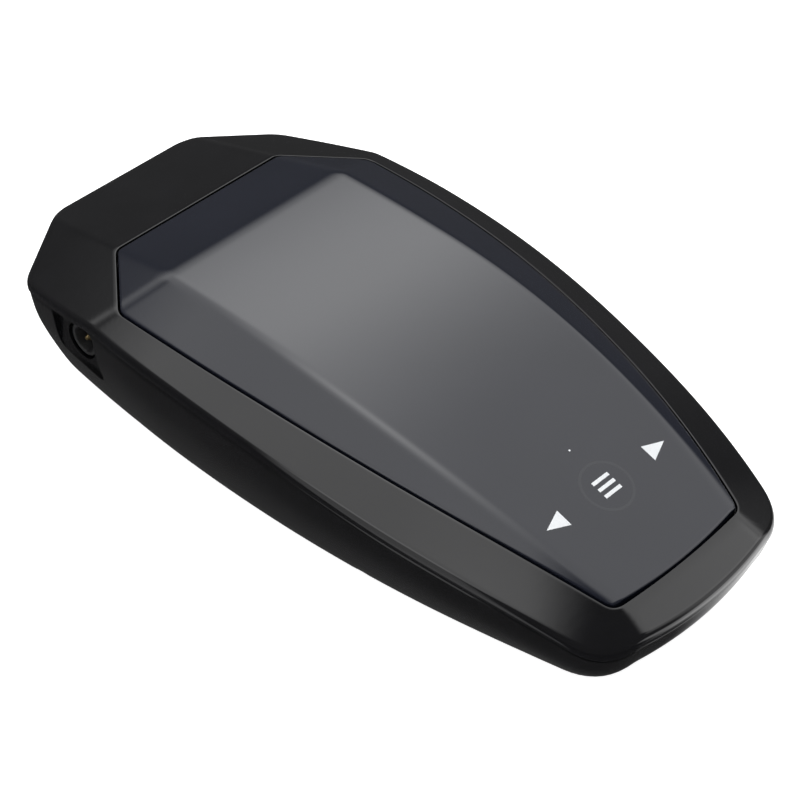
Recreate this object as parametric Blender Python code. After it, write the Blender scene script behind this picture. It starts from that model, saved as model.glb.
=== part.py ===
"""Dashboard radar detector: a wedge-shaped two-shell housing with a smoked top lens over touch keys.

Metres, +Z up. X runs across the housing, +Y points at the road, -Y at the driver.
The origin lies under the middle of the housing, on the surface that its rubber feet stand on.
"""

import math
from collections import namedtuple

import bmesh
import bpy
from mathutils import Matrix, Vector

MM = 0.001

# Clearances and walls
GAP = 0.3 * MM
WALL = 1.8 * MM
FOOT_HEIGHT = 0.6 * MM
FLOOR_Z = FOOT_HEIGHT
INNER_FLOOR_Z = FLOOR_Z + WALL

# Plan outlines, half of each: the road end, the shoulder of its chamfer, the widest place,
# the corner at the driver's end and the middle of that end
Outline = namedtuple(
    "Outline",
    "road_y road_half shoulder_y shoulder_half widest_y widest_half corner_y corner_half end_y corner_cut",
)
SEAM = Outline(
    57.0 * MM, 12.0 * MM, 48.9 * MM, 24.6 * MM, 15.2 * MM, 28.2 * MM,
    -54.6 * MM, 17.6 * MM, -57.0 * MM, 4.5 * MM,
)
FLOOR = Outline(
    49.0 * MM, 9.4 * MM, 40.6 * MM, 20.6 * MM, 25.0 * MM, 20.7 * MM,
    -45.0 * MM, 9.8 * MM, -45.8 * MM, 3.0 * MM,
)
LENS = Outline(
    38.6 * MM, 15.2 * MM, 27.9 * MM, 23.7 * MM, 26.0 * MM, 23.75 * MM,
    -51.2 * MM, 11.95 * MM, -51.7 * MM, 1.3 * MM,
)
RIDGE = Outline(
    26.4 * MM, 15.4 * MM, 25.2 * MM, 16.4 * MM, 2.6 * MM, 16.4 * MM,
    -50.3 * MM, 11.3 * MM, -50.7 * MM, 0.8 * MM,
)
SIDE_STEPS = 10
CORNER_STEPS = 4
END_STEPS = 3
PAD_SAMPLES = 8

# Faceted top surface
SHOULDER_BOW = 2.0
SIDE_BOW = 2.2
CREST_Y = 6.2 * MM
CREST_Z = 26.4 * MM
ARCH_RADIUS_DRIVER = 162.0 * MM
ARCH_RADIUS_ROAD = 315.0 * MM
SIDE_SLOPE_ROAD = 0.42
SIDE_SLOPE_MIDDLE = 0.51
SIDE_SLOPE_DRIVER = 0.31
SLOPE_ROAD_Y = 20.0 * MM
SLOPE_MIDDLE_Y = -20.0 * MM
ROAD_SLOPE = 0.285
CHAMFER_SLOPE_ALONG = 0.31
CHAMFER_SLOPE_ACROSS = 0.33
DRIVER_SLOPE = 0.50

# Upper shell
EDGE_INSET = 0.5 * MM
EDGE_DROP = 0.8 * MM
SEAM_DROP = 1.4 * MM
LENS_GAP = 0.3 * MM
LENS_THICKNESS = 1.5 * MM
TAPE_THICKNESS = 0.4 * MM
TAPE_WIDTH = 1.4 * MM
LEDGE_WIDTH = 2.2 * MM
LEDGE_THICKNESS = 1.2 * MM
LEDGE_DEPTH = LENS_THICKNESS + TAPE_THICKNESS + 2 * GAP

# Lower shell: how far in and how far down each ring of its curved side lies
SIDE_RINGS = ((0.0, 0.0), (0.09, 0.32), (0.33, 0.66), (0.58, 0.90), (0.82, 0.98), (1.0, 1.0))
SEAM_STEP = 0.2 * MM

# Case screws, from below through the lower shell's bosses into the upper shell's towers
CASE_SCREW_PLACES = ((20.6 * MM, 26.5 * MM), (18.8 * MM, -16.0 * MM))
BOSS_RADIUS = 4.0 * MM
TOWER_RADIUS = 2.6 * MM
COUNTERBORE_RADIUS = 2.9 * MM
SCREW_SEAT_Z = 4.2 * MM
BOSS_SHOULDER_Z = SCREW_SEAT_Z + 1.4 * MM
MATING_Z = 8.5 * MM
CASE_SCREW_RADIUS = 1.0 * MM
CASE_SCREW_LENGTH = 9.0 * MM
CASE_HEAD_RADIUS = 2.2 * MM
CASE_HEAD_HEIGHT = 1.3 * MM

# Main board on its posts
BOARD_Z = 8.5 * MM
BOARD_THICKNESS = 1.6 * MM
BOARD_TOP = BOARD_Z + BOARD_THICKNESS
BOARD_HALF = 15.0 * MM
BOARD_ROAD_Y = 10.5 * MM
BOARD_DRIVER_Y = -46.0 * MM
BOARD_SCREW_HALF = 12.2 * MM
BOARD_SCREW_YS = (7.0 * MM, -31.5 * MM)
BOARD_SCREW_PLACES = tuple((side * BOARD_SCREW_HALF, y) for y in BOARD_SCREW_YS for side in (1, -1))
POST_RADIUS = 2.4 * MM
BOARD_SCREW_RADIUS = 0.9 * MM
BOARD_SCREW_LENGTH = 5.6 * MM
BOARD_HEAD_RADIUS = 1.8 * MM
BOARD_HEAD_HEIGHT = 1.0 * MM

# Touch keys: coil springs between the board and the lens
KEY_Y = -39.1 * MM
KEY_PITCH = 9.2 * MM
SPRING_RADIUS = 3.4 * MM
SPRING_TOP_RADIUS = 2.2 * MM
SPRING_WIRE = 0.3 * MM
SPRING_TURNS = 3

# Display under the lens
DISPLAY_Y = -17.0 * MM
DISPLAY_WIDTH = 28.0 * MM
DISPLAY_LENGTH = 19.0 * MM
DISPLAY_THICKNESS = 1.6 * MM
DISPLAY_LENS_GAP = 0.6 * MM
HOLDER_WALL = 1.6 * MM
RIBBON_WIDTH = 12.0 * MM
RIBBON_THICKNESS = 0.25 * MM
RIBBON_REACH = 3.4 * MM
RIBBON_BEND_STEPS = 6

# Chips and other parts on the board
CHIP_SIZE = 9.0 * MM
CHIP_HEIGHT = 1.2 * MM
PATCH_X = 2.0 * MM
PATCH_Y = 1.0 * MM
PATCH_SIZE = 14.6 * MM
PATCH_HEIGHT = 4.0 * MM
CAPACITOR_X = -9.2 * MM
CAPACITOR_YS = (2.6 * MM, -3.0 * MM)
CAPACITOR_RADIUS = 2.3 * MM
CAPACITOR_HEIGHT = 6.0 * MM
CAPACITOR_NECK = 2.1 * MM
CAPACITOR_GROOVE_LOW = 0.8 * MM
CAPACITOR_GROOVE_STEP = 0.3 * MM

# Speaker over the grille in the floor
SPEAKER_Y = -12.0 * MM
SPEAKER_RADIUS = 10.0 * MM
CONE_RADIUS = 8.2 * MM
COIL_RADIUS = 2.0 * MM
MAGNET_RADIUS = 6.2 * MM
SPEAKER_DEPTH = 2.5 * MM
SPEAKER_RIM_HEIGHT = 0.8 * MM
SPEAKER_TAPER = 0.4 * MM
SPEAKER_PLATE = 0.4 * MM
MAGNET_PLATE = 0.5 * MM
COIL_THICKNESS = 0.5 * MM
COIL_HEADROOM = 1.0 * MM
CONE_THICKNESS = 0.35 * MM
CONE_LIFT = 0.6 * MM
CONE_RISE = 1.0 * MM
DUST_CAP_SAG = 0.5 * MM
GRILLE_SLOTS = 5
GRILLE_PITCH = 2.8 * MM
GRILLE_SLOT_WIDTH = 1.2 * MM
GRILLE_RADIUS = 7.6 * MM

# Horn antenna and its radio board
HORN_X = -6.0 * MM
HORN_BACK_Y = 12.0 * MM
HORN_THROAT_Y = 20.0 * MM
HORN_MOUTH_Y = 45.4 * MM
HORN_THROAT_HALF = 5.5 * MM
HORN_MOUTH_HALF = 10.0 * MM
HORN_THROAT_LOW = 5.4 * MM
HORN_THROAT_HIGH = 12.4 * MM
HORN_MOUTH_LOW = 4.6 * MM
HORN_MOUTH_HIGH = 15.6 * MM
HORN_WALL = 1.2 * MM
RADIO_BOARD_HALF = 7.5 * MM
RADIO_BOARD_THICKNESS = 1.0 * MM
RADIO_BOARD_ROAD_Y = 19.8 * MM
RADIO_BOARD_DRIVER_Y = 9.5 * MM
CAN_MARGIN = 1.2 * MM
CAN_HEIGHT = 3.4 * MM
CAN_WALL = 0.4 * MM

# Laser sensor behind its window in the road end
LASER_X = 8.0 * MM
LASER_Z = 10.2 * MM
LASER_RADIUS = 3.4 * MM
LASER_BACK_Y = 38.0 * MM
LASER_FRONT_Y = 48.0 * MM
LASER_LENS_DEPTH = 1.6 * MM
LASER_TUBE_WALL = 0.8 * MM
WINDOW_WIDTH = 6.0 * MM
WINDOW_HEIGHT = 5.0 * MM
WINDOW_THICKNESS = 1.4 * MM
WINDOW_Y = 54.6 * MM

# Power socket in its pocket on the left, power switch in its pocket on the right
POCKET_FLOOR_X = 24.9 * MM
POCKET_WALL = 1.6 * MM
POCKET_INNER_X = POCKET_FLOOR_X - POCKET_WALL
SOCKET_Y = 36.0 * MM
SOCKET_Z = 12.9 * MM
SOCKET_POCKET_DRIVER_Y = 30.4 * MM
SOCKET_POCKET_ROAD_Y = 41.0 * MM
SOCKET_POCKET_LOW = 8.9 * MM
POCKET_CORNER = 1.6 * MM
SOCKET_BORE = 1.9 * MM
SOCKET_NOSE = 2.6 * MM
SOCKET_HALF = 3.0 * MM
SOCKET_SETBACK = 0.7 * MM
SNUG = 0.02 * MM
SOCKET_LENGTH = 7.2 * MM
SOCKET_BORE_DEPTH = 6.6 * MM
PIN_RADIUS = 0.55 * MM
POWER_BOARD_THICKNESS = 1.2 * MM
POWER_BOARD_OUTER_X = 22.0 * MM
POWER_BOARD_INNER_X = 15.8 * MM
POWER_BOARD_HALF = 5.0 * MM
SWITCH_Y = 35.0 * MM
SWITCH_Z = 13.0 * MM
SWITCH_TRAVEL = 2.0 * MM
KNOB_LENGTH = 1.8 * MM
KNOB_HEIGHT = 2.4 * MM
KNOB_OUT = 1.2 * MM
SWITCH_HALF_LENGTH = 4.2 * MM
SWITCH_HALF_HEIGHT = 2.6 * MM
SWITCH_SETBACK = 0.7 * MM
SWITCH_DEPTH = 4.4 * MM
SWITCH_POCKET_MARGIN = 1.4 * MM

# Feet
FOOT_ROWS = ((13.0 * MM, 31.0 * MM), (8.0 * MM, -34.0 * MM))
FOOT_PLACES = tuple((side * x, y) for x, y in FOOT_ROWS for side in (1, -1))
FOOT_RADIUS = 4.0 * MM
FOOT_WELL_DEPTH = 0.8 * MM

ROUND = 20
SMALL_ROUND = 12


# ---------------------------------------------------------------- scene helpers


def clear_scene():
    for obj in list(bpy.data.objects):
        bpy.data.objects.remove(obj, do_unlink=True)


def material(name, color, roughness, metallic=0.0, transmission=0.0):
    mat = bpy.data.materials.new(name)
    mat.use_nodes = True
    shader = mat.node_tree.nodes["Principled BSDF"]
    shader.inputs["Base Color"].default_value = (*color, 1.0)
    shader.inputs["Roughness"].default_value = roughness
    shader.inputs["Metallic"].default_value = metallic
    shader.inputs["Transmission Weight"].default_value = transmission
    return mat


def finish(bm, name, mat=None, smooth=False):
    """Turns a bmesh into an object of that name, with its faces pointing out."""
    bmesh.ops.recalc_face_normals(bm, faces=bm.faces)
    mesh = bpy.data.meshes.new(name)
    bm.to_mesh(mesh)
    bm.free()
    if mat:
        mesh.materials.append(mat)
    if smooth:
        mesh.shade_smooth()
        mesh.set_sharp_from_angle(angle=math.radians(35))
    obj = bpy.data.objects.new(name, mesh)
    bpy.context.scene.collection.objects.link(obj)
    return obj


def tool(bm, name):
    """A cutter or an addition: it shapes other objects and isn't part of the detector."""
    obj = finish(bm, name)
    obj.hide_render = True
    obj.display_type = "WIRE"
    return obj


def boolean(obj, other, operation):
    modifier = obj.modifiers.new(other.name, "BOOLEAN")
    modifier.operation = operation
    modifier.solver = "EXACT"
    modifier.object = other


def cut(obj, cutter):
    boolean(obj, cutter, "DIFFERENCE")


def join(obj, addition):
    boolean(obj, addition, "UNION")


# ---------------------------------------------------------------- solids


def add_box(bm, low, high):
    low = Vector(low)
    high = Vector(high)
    size = high - low
    place = Matrix.Translation((low + high) / 2) @ Matrix.Diagonal((*size, 1.0))
    return bmesh.ops.create_cube(bm, size=1.0, matrix=place)["verts"]


def add_cylinder(bm, start, end, radius, segments=ROUND, end_radius=None):
    start = Vector(start)
    end = Vector(end)
    turn = Vector((0, 0, 1)).rotation_difference(end - start).to_matrix().to_4x4()
    bmesh.ops.create_cone(
        bm,
        cap_ends=True,
        segments=segments,
        radius1=radius,
        radius2=radius if end_radius is None else end_radius,
        depth=(end - start).length,
        matrix=Matrix.Translation((start + end) / 2) @ turn,
    )


def turned(profile, segments=ROUND, place=None):
    """A bmesh of the closed profile of (radius, height) points, spun about Z and then placed."""
    bm = bmesh.new()
    points = [bm.verts.new((radius, 0, height)) for radius, height in profile]
    edges = [bm.edges.new(pair) for pair in zip(points, points[1:] + points[:1])]
    bmesh.ops.spin(
        bm, geom=points + edges, cent=(0, 0, 0), axis=(0, 0, 1),
        angle=math.tau, steps=segments, use_merge=True,
    )
    bmesh.ops.remove_doubles(bm, verts=bm.verts, dist=1e-7)
    bmesh.ops.dissolve_degenerate(bm, edges=bm.edges, dist=1e-7)
    if place:
        bmesh.ops.transform(bm, matrix=place, verts=bm.verts)
    return bm


def loft(rings, closed=False, caps=True):
    """A bmesh through rings of equal length. Closed joins the last ring to the first, like a frame."""
    bm = bmesh.new()
    rows = [[bm.verts.new(point) for point in ring] for ring in rings]
    pairs = list(zip(rows, rows[1:]))
    if closed:
        pairs.append((rows[-1], rows[0]))
    count = len(rows[0])
    for low, high in pairs:
        for i in range(count):
            j = (i + 1) % count
            bm.faces.new((low[i], low[j], high[j], high[i]))
    if caps and not closed:
        cap(bm, rows[0])
        cap(bm, rows[-1])
    bmesh.ops.triangulate(bm, faces=bm.faces)
    return bm


def cap(bm, row):
    """Closes a ring that is symmetric about X = 0 with strips that run straight across."""
    count = len(row)
    middle = count // 2
    bm.faces.new((row[0], row[1], row[2], row[-2], row[-1]))
    for i in range(2, middle - 1):
        bm.faces.new((row[i], row[i + 1], row[count - i - 1], row[count - i]))
    bm.faces.new((row[middle - 1], row[middle], row[middle + 1]))


# ---------------------------------------------------------------- plan outlines and the top surface


def side_half(outline, y):
    """Half the width of an outline's long side at y: full at its widest place, less towards both ends."""
    if y > outline.widest_y:
        share = (y - outline.widest_y) / (outline.shoulder_y - outline.widest_y)
        return outline.widest_half - (outline.widest_half - outline.shoulder_half) * share**SHOULDER_BOW
    share = (outline.widest_y - y) / (outline.widest_y - outline.corner_y)
    return outline.widest_half - (outline.widest_half - outline.corner_half) * share**SIDE_BOW


def half_outline(outline, grow):
    """The +X half of an outline, from the road end's middle to the driver end's, moved out by grow."""
    points = [Vector((0, outline.road_y)), Vector((outline.road_half, outline.road_y))]
    for i in range(SIDE_STEPS + 1):
        y = outline.shoulder_y + (outline.corner_y - outline.shoulder_y) * i / SIDE_STEPS
        points.append(Vector((side_half(outline, y), y)))
    for i in range(1, END_STEPS + 1):
        x = outline.corner_half * (1 - i / END_STEPS)
        bow = (x / outline.corner_half) ** 2
        points.append(Vector((x, outline.end_y + (outline.corner_y - outline.end_y) * bow)))
    moved = []
    for i, point in enumerate(points):
        before = points[i - 1] if i else Vector((-points[1].x, points[1].y))
        after = points[i + 1] if i + 1 < len(points) else Vector((-points[i - 1].x, points[i - 1].y))
        into = (point - before).normalized()
        out_of = (after - point).normalized()
        normal = Vector((-into.y, into.x)) + Vector((-out_of.y, out_of.x))
        normal.normalize()
        share = normal.dot(Vector((-into.y, into.x)))
        moved.append(point + normal * grow / share)
    corner = SIDE_STEPS + 2
    rounded = corner_points(moved[corner - 1], moved[corner], moved[corner + 1], outline.corner_cut)
    return moved[:corner] + rounded + moved[corner + 1 :]


def corner_points(before, corner, after, length):
    """A quadratic curve that replaces a sharp corner, starting and ending at length from it."""
    start = corner + (before - corner).normalized() * min(length, (before - corner).length * 0.8)
    end = corner + (after - corner).normalized() * min(length, (after - corner).length * 0.8)
    points = []
    for i in range(CORNER_STEPS + 1):
        t = i / CORNER_STEPS
        points.append(start * (1 - t) ** 2 + corner * 2 * t * (1 - t) + end * t**2)
    return points


def plan(outline, grow=0.0):
    """A closed loop of plan points, symmetric about X = 0, moved out by grow or in where it is negative."""
    half = half_outline(outline, grow)
    mirrored = [Vector((-point.x, point.y)) for point in reversed(half[1:-1])]
    return half + mirrored


def arch_z(y):
    """Height of the top's middle line."""
    radius = ARCH_RADIUS_DRIVER if y < CREST_Y else ARCH_RADIUS_ROAD
    return CREST_Z - (y - CREST_Y) ** 2 / (2 * radius)


def side_slope(y):
    if y > SLOPE_ROAD_Y:
        return SIDE_SLOPE_ROAD
    if y > SLOPE_MIDDLE_Y:
        share = (SLOPE_ROAD_Y - y) / (SLOPE_ROAD_Y - SLOPE_MIDDLE_Y)
        return SIDE_SLOPE_ROAD + (SIDE_SLOPE_MIDDLE - SIDE_SLOPE_ROAD) * share
    share = (SLOPE_MIDDLE_Y - y) / (SLOPE_MIDDLE_Y - SEAM.end_y)
    return SIDE_SLOPE_MIDDLE + (SIDE_SLOPE_DRIVER - SIDE_SLOPE_MIDDLE) * share


def top_z(x, y):
    """The faceted top: an arched main face with facets falling to the sides, both ends and the chamfers."""
    across = abs(x)
    main = arch_z(y)
    side = main - side_slope(y) * max(0.0, across - side_half(RIDGE, min(y, RIDGE.shoulder_y)))
    road = arch_z(RIDGE.road_y) - ROAD_SLOPE * (y - RIDGE.road_y)
    chamfer_start = arch_z(RIDGE.road_y) - ROAD_SLOPE * (LENS.road_y - RIDGE.road_y)
    chamfer = (
        chamfer_start
        - CHAMFER_SLOPE_ALONG * (y - LENS.road_y)
        - CHAMFER_SLOPE_ACROSS * (across - LENS.road_half)
    )
    driver = arch_z(LENS.end_y) - DRIVER_SLOPE * (LENS.end_y - y)
    return min(side, road, chamfer, driver)


def under_top(loop, drop):
    """A ring at a depth below the top surface, over a plan loop."""
    return [Vector((point.x, point.y, top_z(point.x, point.y) - drop)) for point in loop]


def at_height(loop, z):
    return [Vector((point.x, point.y, z)) for point in loop]


def with_heights(loop, ring):
    """A ring over a plan loop that takes its heights from another ring, point by point."""
    return [Vector((point.x, point.y, other.z)) for point, other in zip(loop, ring)]


def blend_rings(high, low, inward, down):
    ring = []
    for top, bottom in zip(high, low):
        x = top.x + (bottom.x - top.x) * inward
        y = top.y + (bottom.y - top.y) * inward
        ring.append(Vector((x, y, top.z + (bottom.z - top.z) * down)))
    return ring


def both_sides(places):
    return [(side * x, y) for x, y in places for side in (1, -1)]


# ---------------------------------------------------------------- housing


def seam_ring(grow=0.0):
    return with_heights(plan(SEAM, grow), under_top(plan(SEAM), SEAM_DROP))


def make_upper_shell(mat):
    """The top case: a frame around the lens, with a ledge under it and four screw towers."""
    outer = plan(SEAM)
    inner = plan(SEAM, -WALL)
    opening = plan(LENS, LENS_GAP)
    ledge = plan(LENS, -LEDGE_WIDTH)
    around_ledge = plan(LENS, WALL)
    ledge_bottom = LEDGE_DEPTH + LEDGE_THICKNESS
    bm = loft(
        [
            seam_ring(),
            under_top(outer, EDGE_DROP),
            under_top(plan(SEAM, -EDGE_INSET), 0.0),
            under_top(opening, 0.0),
            under_top(opening, LEDGE_DEPTH),
            under_top(ledge, LEDGE_DEPTH),
            under_top(ledge, ledge_bottom),
            under_top(around_ledge, ledge_bottom),
            under_top(around_ledge, WALL),
            under_top(inner, WALL),
            with_heights(inner, seam_ring()),
        ],
        closed=True,
    )
    shell = finish(bm, "upper_shell", mat)
    towers = bmesh.new()
    pilots = bmesh.new()
    for x, y in both_sides(CASE_SCREW_PLACES):
        outer_x = abs(x) + TOWER_RADIUS * 0.7
        tower_top = top_z(outer_x, y) - LEDGE_DEPTH - LEDGE_THICKNESS / 2
        bottom = MATING_Z + GAP / 2
        add_cylinder(towers, (x, y, bottom), (x, y, tower_top), TOWER_RADIUS)
        pilot_top = SCREW_SEAT_Z - GAP + CASE_SCREW_LENGTH + GAP
        add_cylinder(pilots, (x, y, bottom - WALL), (x, y, pilot_top), CASE_SCREW_RADIUS + GAP, SMALL_ROUND)
    join(shell, tool(towers, "tower_additions"))
    cut(shell, tool(pilots, "tower_pilots"))
    return shell


def lower_rings(seam, floor):
    return [blend_rings(seam, floor, inward, down) for inward, down in SIDE_RINGS]


def make_lower_shell(mat):
    """The bottom case: a boat-shaped tray with bosses, posts, two side pockets and a speaker grille."""
    seam = [point - Vector((0, 0, GAP)) for point in seam_ring(-SEAM_STEP)]
    rim = with_heights(plan(SEAM, -3 * WALL), seam)
    outside = loft([rim] + lower_rings(seam, at_height(plan(FLOOR), FLOOR_Z)))
    shell = finish(outside, "lower_shell", mat)

    inner_seam = with_heights(plan(SEAM, -SEAM_STEP - WALL), seam_ring(-SEAM_STEP))
    inner_floor = at_height(plan(FLOOR, -WALL), INNER_FLOOR_Z)
    above = [point + Vector((0, 0, 4 * WALL)) for point in inner_seam]
    cavity = tool(loft([above] + lower_rings(inner_seam, inner_floor)), "lower_cavity")
    for addition in lower_inside():
        cut(cavity, addition)
    cut(shell, cavity)
    for cutter in lower_openings():
        cut(shell, cutter)
    towers = bmesh.new()
    for x, y in both_sides(CASE_SCREW_PLACES):
        add_cylinder(towers, (x, y, MATING_Z), (x, y, CREST_Z), TOWER_RADIUS + GAP)
    cut(shell, tool(towers, "tower_room"))
    ledge = plan(LENS, WALL + GAP)
    room = loft([at_height(ledge, CREST_Z + WALL), under_top(ledge, LEDGE_DEPTH + LEDGE_THICKNESS + GAP)])
    cut(shell, tool(room, "ledge_room"))
    return shell


def inside_half(y, z):
    """Half the clear width inside the tray at a place along it and a height."""
    seam = with_heights(plan(SEAM, -SEAM_STEP - WALL), seam_ring(-SEAM_STEP))
    rings = lower_rings(seam, at_height(plan(FLOOR, -WALL), INNER_FLOOR_Z))
    trail = []
    for column in zip(*rings):
        for high, low in zip(column, column[1:]):
            if column[0].x > 0 and low.z <= z <= high.z:
                trail.append(high.lerp(low, (high.z - z) / (high.z - low.z)))
                break
    for first, second in zip(trail, trail[1:]):
        if second.y <= y <= first.y:
            return first.lerp(second, (first.y - y) / (first.y - second.y)).x
    return 0.0


def pad_top(low_y, high_y):
    """The height that a pocket's thick wall may reach under the lens ledge between two places along it."""
    ring = under_top(plan(LENS, WALL), LEDGE_DEPTH + LEDGE_THICKNESS)
    reached = []
    for first, second in zip(ring, ring[1:]):
        for i in range(PAD_SAMPLES):
            point = first.lerp(second, i / PAD_SAMPLES)
            if point.x > POCKET_INNER_X - GAP and low_y - GAP < point.y < high_y + GAP:
                reached.append(point.z)
    return min(reached, default=CREST_Z) - 2 * GAP


def lower_inside():
    """What stands inside the tray: each is left out of the cavity that hollows it."""
    below = FLOOR_Z
    bosses = bmesh.new()
    collars = bmesh.new()
    for x, y in both_sides(CASE_SCREW_PLACES):
        add_cylinder(bosses, (x, y, below), (x, y, BOSS_SHOULDER_Z), BOSS_RADIUS)
        add_cylinder(collars, (x, y, below), (x, y, MATING_Z - GAP / 2), TOWER_RADIUS)
    posts = bmesh.new()
    for x, y in BOARD_SCREW_PLACES:
        add_cylinder(posts, (x, y, below), (x, y, BOARD_Z - GAP), POST_RADIUS)
    for y in (SOCKET_Y - POWER_BOARD_HALF + POST_RADIUS, SOCKET_Y + POWER_BOARD_HALF - POST_RADIUS):
        x = -(POWER_BOARD_OUTER_X + POWER_BOARD_INNER_X) / 2
        add_cylinder(posts, (x, y, below), (x, y, power_board_z() - GAP), POST_RADIUS / 2, SMALL_ROUND)
    ribs = bmesh.new()
    horn_half = HORN_THROAT_HALF - HORN_WALL
    for y, top in ((HORN_BACK_Y + WALL, HORN_THROAT_LOW), (HORN_MOUTH_Y - 4 * WALL, HORN_MOUTH_LOW)):
        add_box(ribs, (HORN_X - horn_half, y, below), (HORN_X + horn_half, y + WALL, top - GAP))
    laser_low = LASER_Z - LASER_RADIUS - GAP
    add_box(
        ribs,
        (LASER_X - WALL, LASER_BACK_Y + WALL, below),
        (LASER_X + WALL, LASER_BACK_Y + 2 * WALL, laser_low),
    )
    ring = turned(
        [
            (SPEAKER_RADIUS + GAP, below),
            (SPEAKER_RADIUS + GAP + WALL / 2, below),
            (SPEAKER_RADIUS + GAP + WALL / 2, INNER_FLOOR_Z + WALL),
            (SPEAKER_RADIUS + GAP, INNER_FLOOR_Z + WALL),
        ],
        place=Matrix.Translation((0, SPEAKER_Y, 0)),
    )
    pads = bmesh.new()
    low_y, high_y = SOCKET_POCKET_DRIVER_Y - WALL, SOCKET_POCKET_ROAD_Y + WALL
    add_box(pads, (-SEAM.widest_half, low_y, below), (-POCKET_INNER_X, high_y, pad_top(low_y, high_y)))
    low_y, high_y = SWITCH_Y - SWITCH_HALF_LENGTH - WALL, SWITCH_Y + SWITCH_HALF_LENGTH + WALL
    add_box(pads, (POCKET_INNER_X, low_y, below), (SEAM.widest_half, high_y, pad_top(low_y, high_y)))
    return [
        tool(bosses, "boss_additions"),
        tool(collars, "collar_additions"),
        tool(posts, "post_additions"),
        tool(ribs, "rib_additions"),
        tool(ring, "speaker_ring_addition"),
        tool(pads, "pocket_wall_additions"),
    ]


def lower_openings():
    """Everything that is cut right through the tray or into its outside."""
    below = -WALL
    counterbores = bmesh.new()
    screw_holes = bmesh.new()
    for x, y in both_sides(CASE_SCREW_PLACES):
        add_cylinder(counterbores, (x, y, below), (x, y, SCREW_SEAT_Z), COUNTERBORE_RADIUS)
        top = MATING_Z + WALL
        add_cylinder(screw_holes, (x, y, below), (x, y, top), CASE_SCREW_RADIUS + GAP, SMALL_ROUND)
    wells = bmesh.new()
    for x, y in FOOT_PLACES:
        add_cylinder(wells, (x, y, below), (x, y, FLOOR_Z + FOOT_WELL_DEPTH), FOOT_RADIUS + GAP)
    post_holes = bmesh.new()
    for x, y in BOARD_SCREW_PLACES:
        low = BOARD_TOP + GAP - BOARD_SCREW_LENGTH - GAP
        add_cylinder(post_holes, (x, y, low), (x, y, BOARD_Z + WALL), BOARD_SCREW_RADIUS + GAP, SMALL_ROUND)
    slots = bmesh.new()
    for i in range(GRILLE_SLOTS):
        offset = (i - (GRILLE_SLOTS - 1) / 2) * GRILLE_PITCH
        half = math.sqrt(GRILLE_RADIUS**2 - offset**2)
        low_y = SPEAKER_Y + offset - GRILLE_SLOT_WIDTH / 2
        add_box(slots, (-half, low_y, below), (half, low_y + GRILLE_SLOT_WIDTH, INNER_FLOOR_Z + GAP))
    openings = bmesh.new()
    half_width = WINDOW_WIDTH / 2 + GAP
    half_height = WINDOW_HEIGHT / 2 + GAP
    add_box(
        openings,
        (LASER_X - half_width, WINDOW_Y - 4 * WALL, LASER_Z - half_height),
        (LASER_X + half_width, WINDOW_Y + 4 * WALL, LASER_Z + half_height),
    )
    nose = SOCKET_NOSE + GAP
    add_cylinder(
        openings,
        (-POCKET_INNER_X + WALL, SOCKET_Y, SOCKET_Z),
        (-SEAM.widest_half, SOCKET_Y, SOCKET_Z),
        nose,
    )
    slot_half = (KNOB_LENGTH + SWITCH_TRAVEL) / 2 + GAP
    slot_high = KNOB_HEIGHT / 2 + GAP
    add_box(
        openings,
        (POCKET_INNER_X - WALL, SWITCH_Y - slot_half, SWITCH_Z - slot_high),
        (SEAM.widest_half, SWITCH_Y + slot_half, SWITCH_Z + slot_high),
    )
    return [
        tool(counterbores, "counterbore_cutters"),
        tool(screw_holes, "screw_hole_cutters"),
        tool(wells, "foot_well_cutters"),
        tool(post_holes, "post_hole_cutters"),
        tool(slots, "grille_cutters"),
        pocket_cutter(),
        tool(openings, "opening_cutters"),
    ]


def pocket_cutter():
    """The flat-floored pockets around the power socket and the power switch, with rounded ends."""
    bm = bmesh.new()
    outside = SEAM.widest_half + WALL
    socket = add_box(
        bm,
        (-outside, SOCKET_POCKET_DRIVER_Y, SOCKET_POCKET_LOW),
        (-POCKET_FLOOR_X, SOCKET_POCKET_ROAD_Y, CREST_Z),
    )
    reach = (KNOB_LENGTH + SWITCH_TRAVEL) / 2 + SWITCH_POCKET_MARGIN
    rise = KNOB_HEIGHT / 2 + SWITCH_POCKET_MARGIN
    switch = add_box(
        bm,
        (POCKET_FLOOR_X, SWITCH_Y - reach, SWITCH_Z - rise),
        (outside, SWITCH_Y + reach, SWITCH_Z + rise),
    )
    edges = []
    for edge in bm.edges:
        first, second = edge.verts
        if abs(first.co.x - second.co.x) > POCKET_CORNER and first.co.z < CREST_Z - POCKET_CORNER:
            edges.append(edge)
    bmesh.ops.bevel(bm, geom=edges, offset=POCKET_CORNER, segments=4, profile=0.5, affect="EDGES")
    return tool(bm, "pocket_cutters")


def make_lens(mat):
    """The smoked cover over the whole top, with soft ridges along both sides and at the road end."""
    bm = loft(
        [
            under_top(plan(RIDGE), LENS_THICKNESS),
            under_top(plan(LENS), LENS_THICKNESS),
            under_top(plan(LENS), 0.0),
            under_top(plan(RIDGE), 0.0),
        ]
    )
    return finish(bm, "display_lens", mat)


def make_lens_tape(mat):
    """The adhesive frame that holds the lens on the upper shell's ledge."""
    outer = plan(LENS, -(LEDGE_WIDTH - TAPE_WIDTH) / 2)
    inner = plan(LENS, -(LEDGE_WIDTH + TAPE_WIDTH) / 2)
    top = LENS_THICKNESS + GAP
    bottom = top + TAPE_THICKNESS
    bm = loft(
        [under_top(outer, top), under_top(inner, top), under_top(inner, bottom), under_top(outer, bottom)],
        closed=True,
    )
    return finish(bm, "lens_tape", mat)


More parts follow.
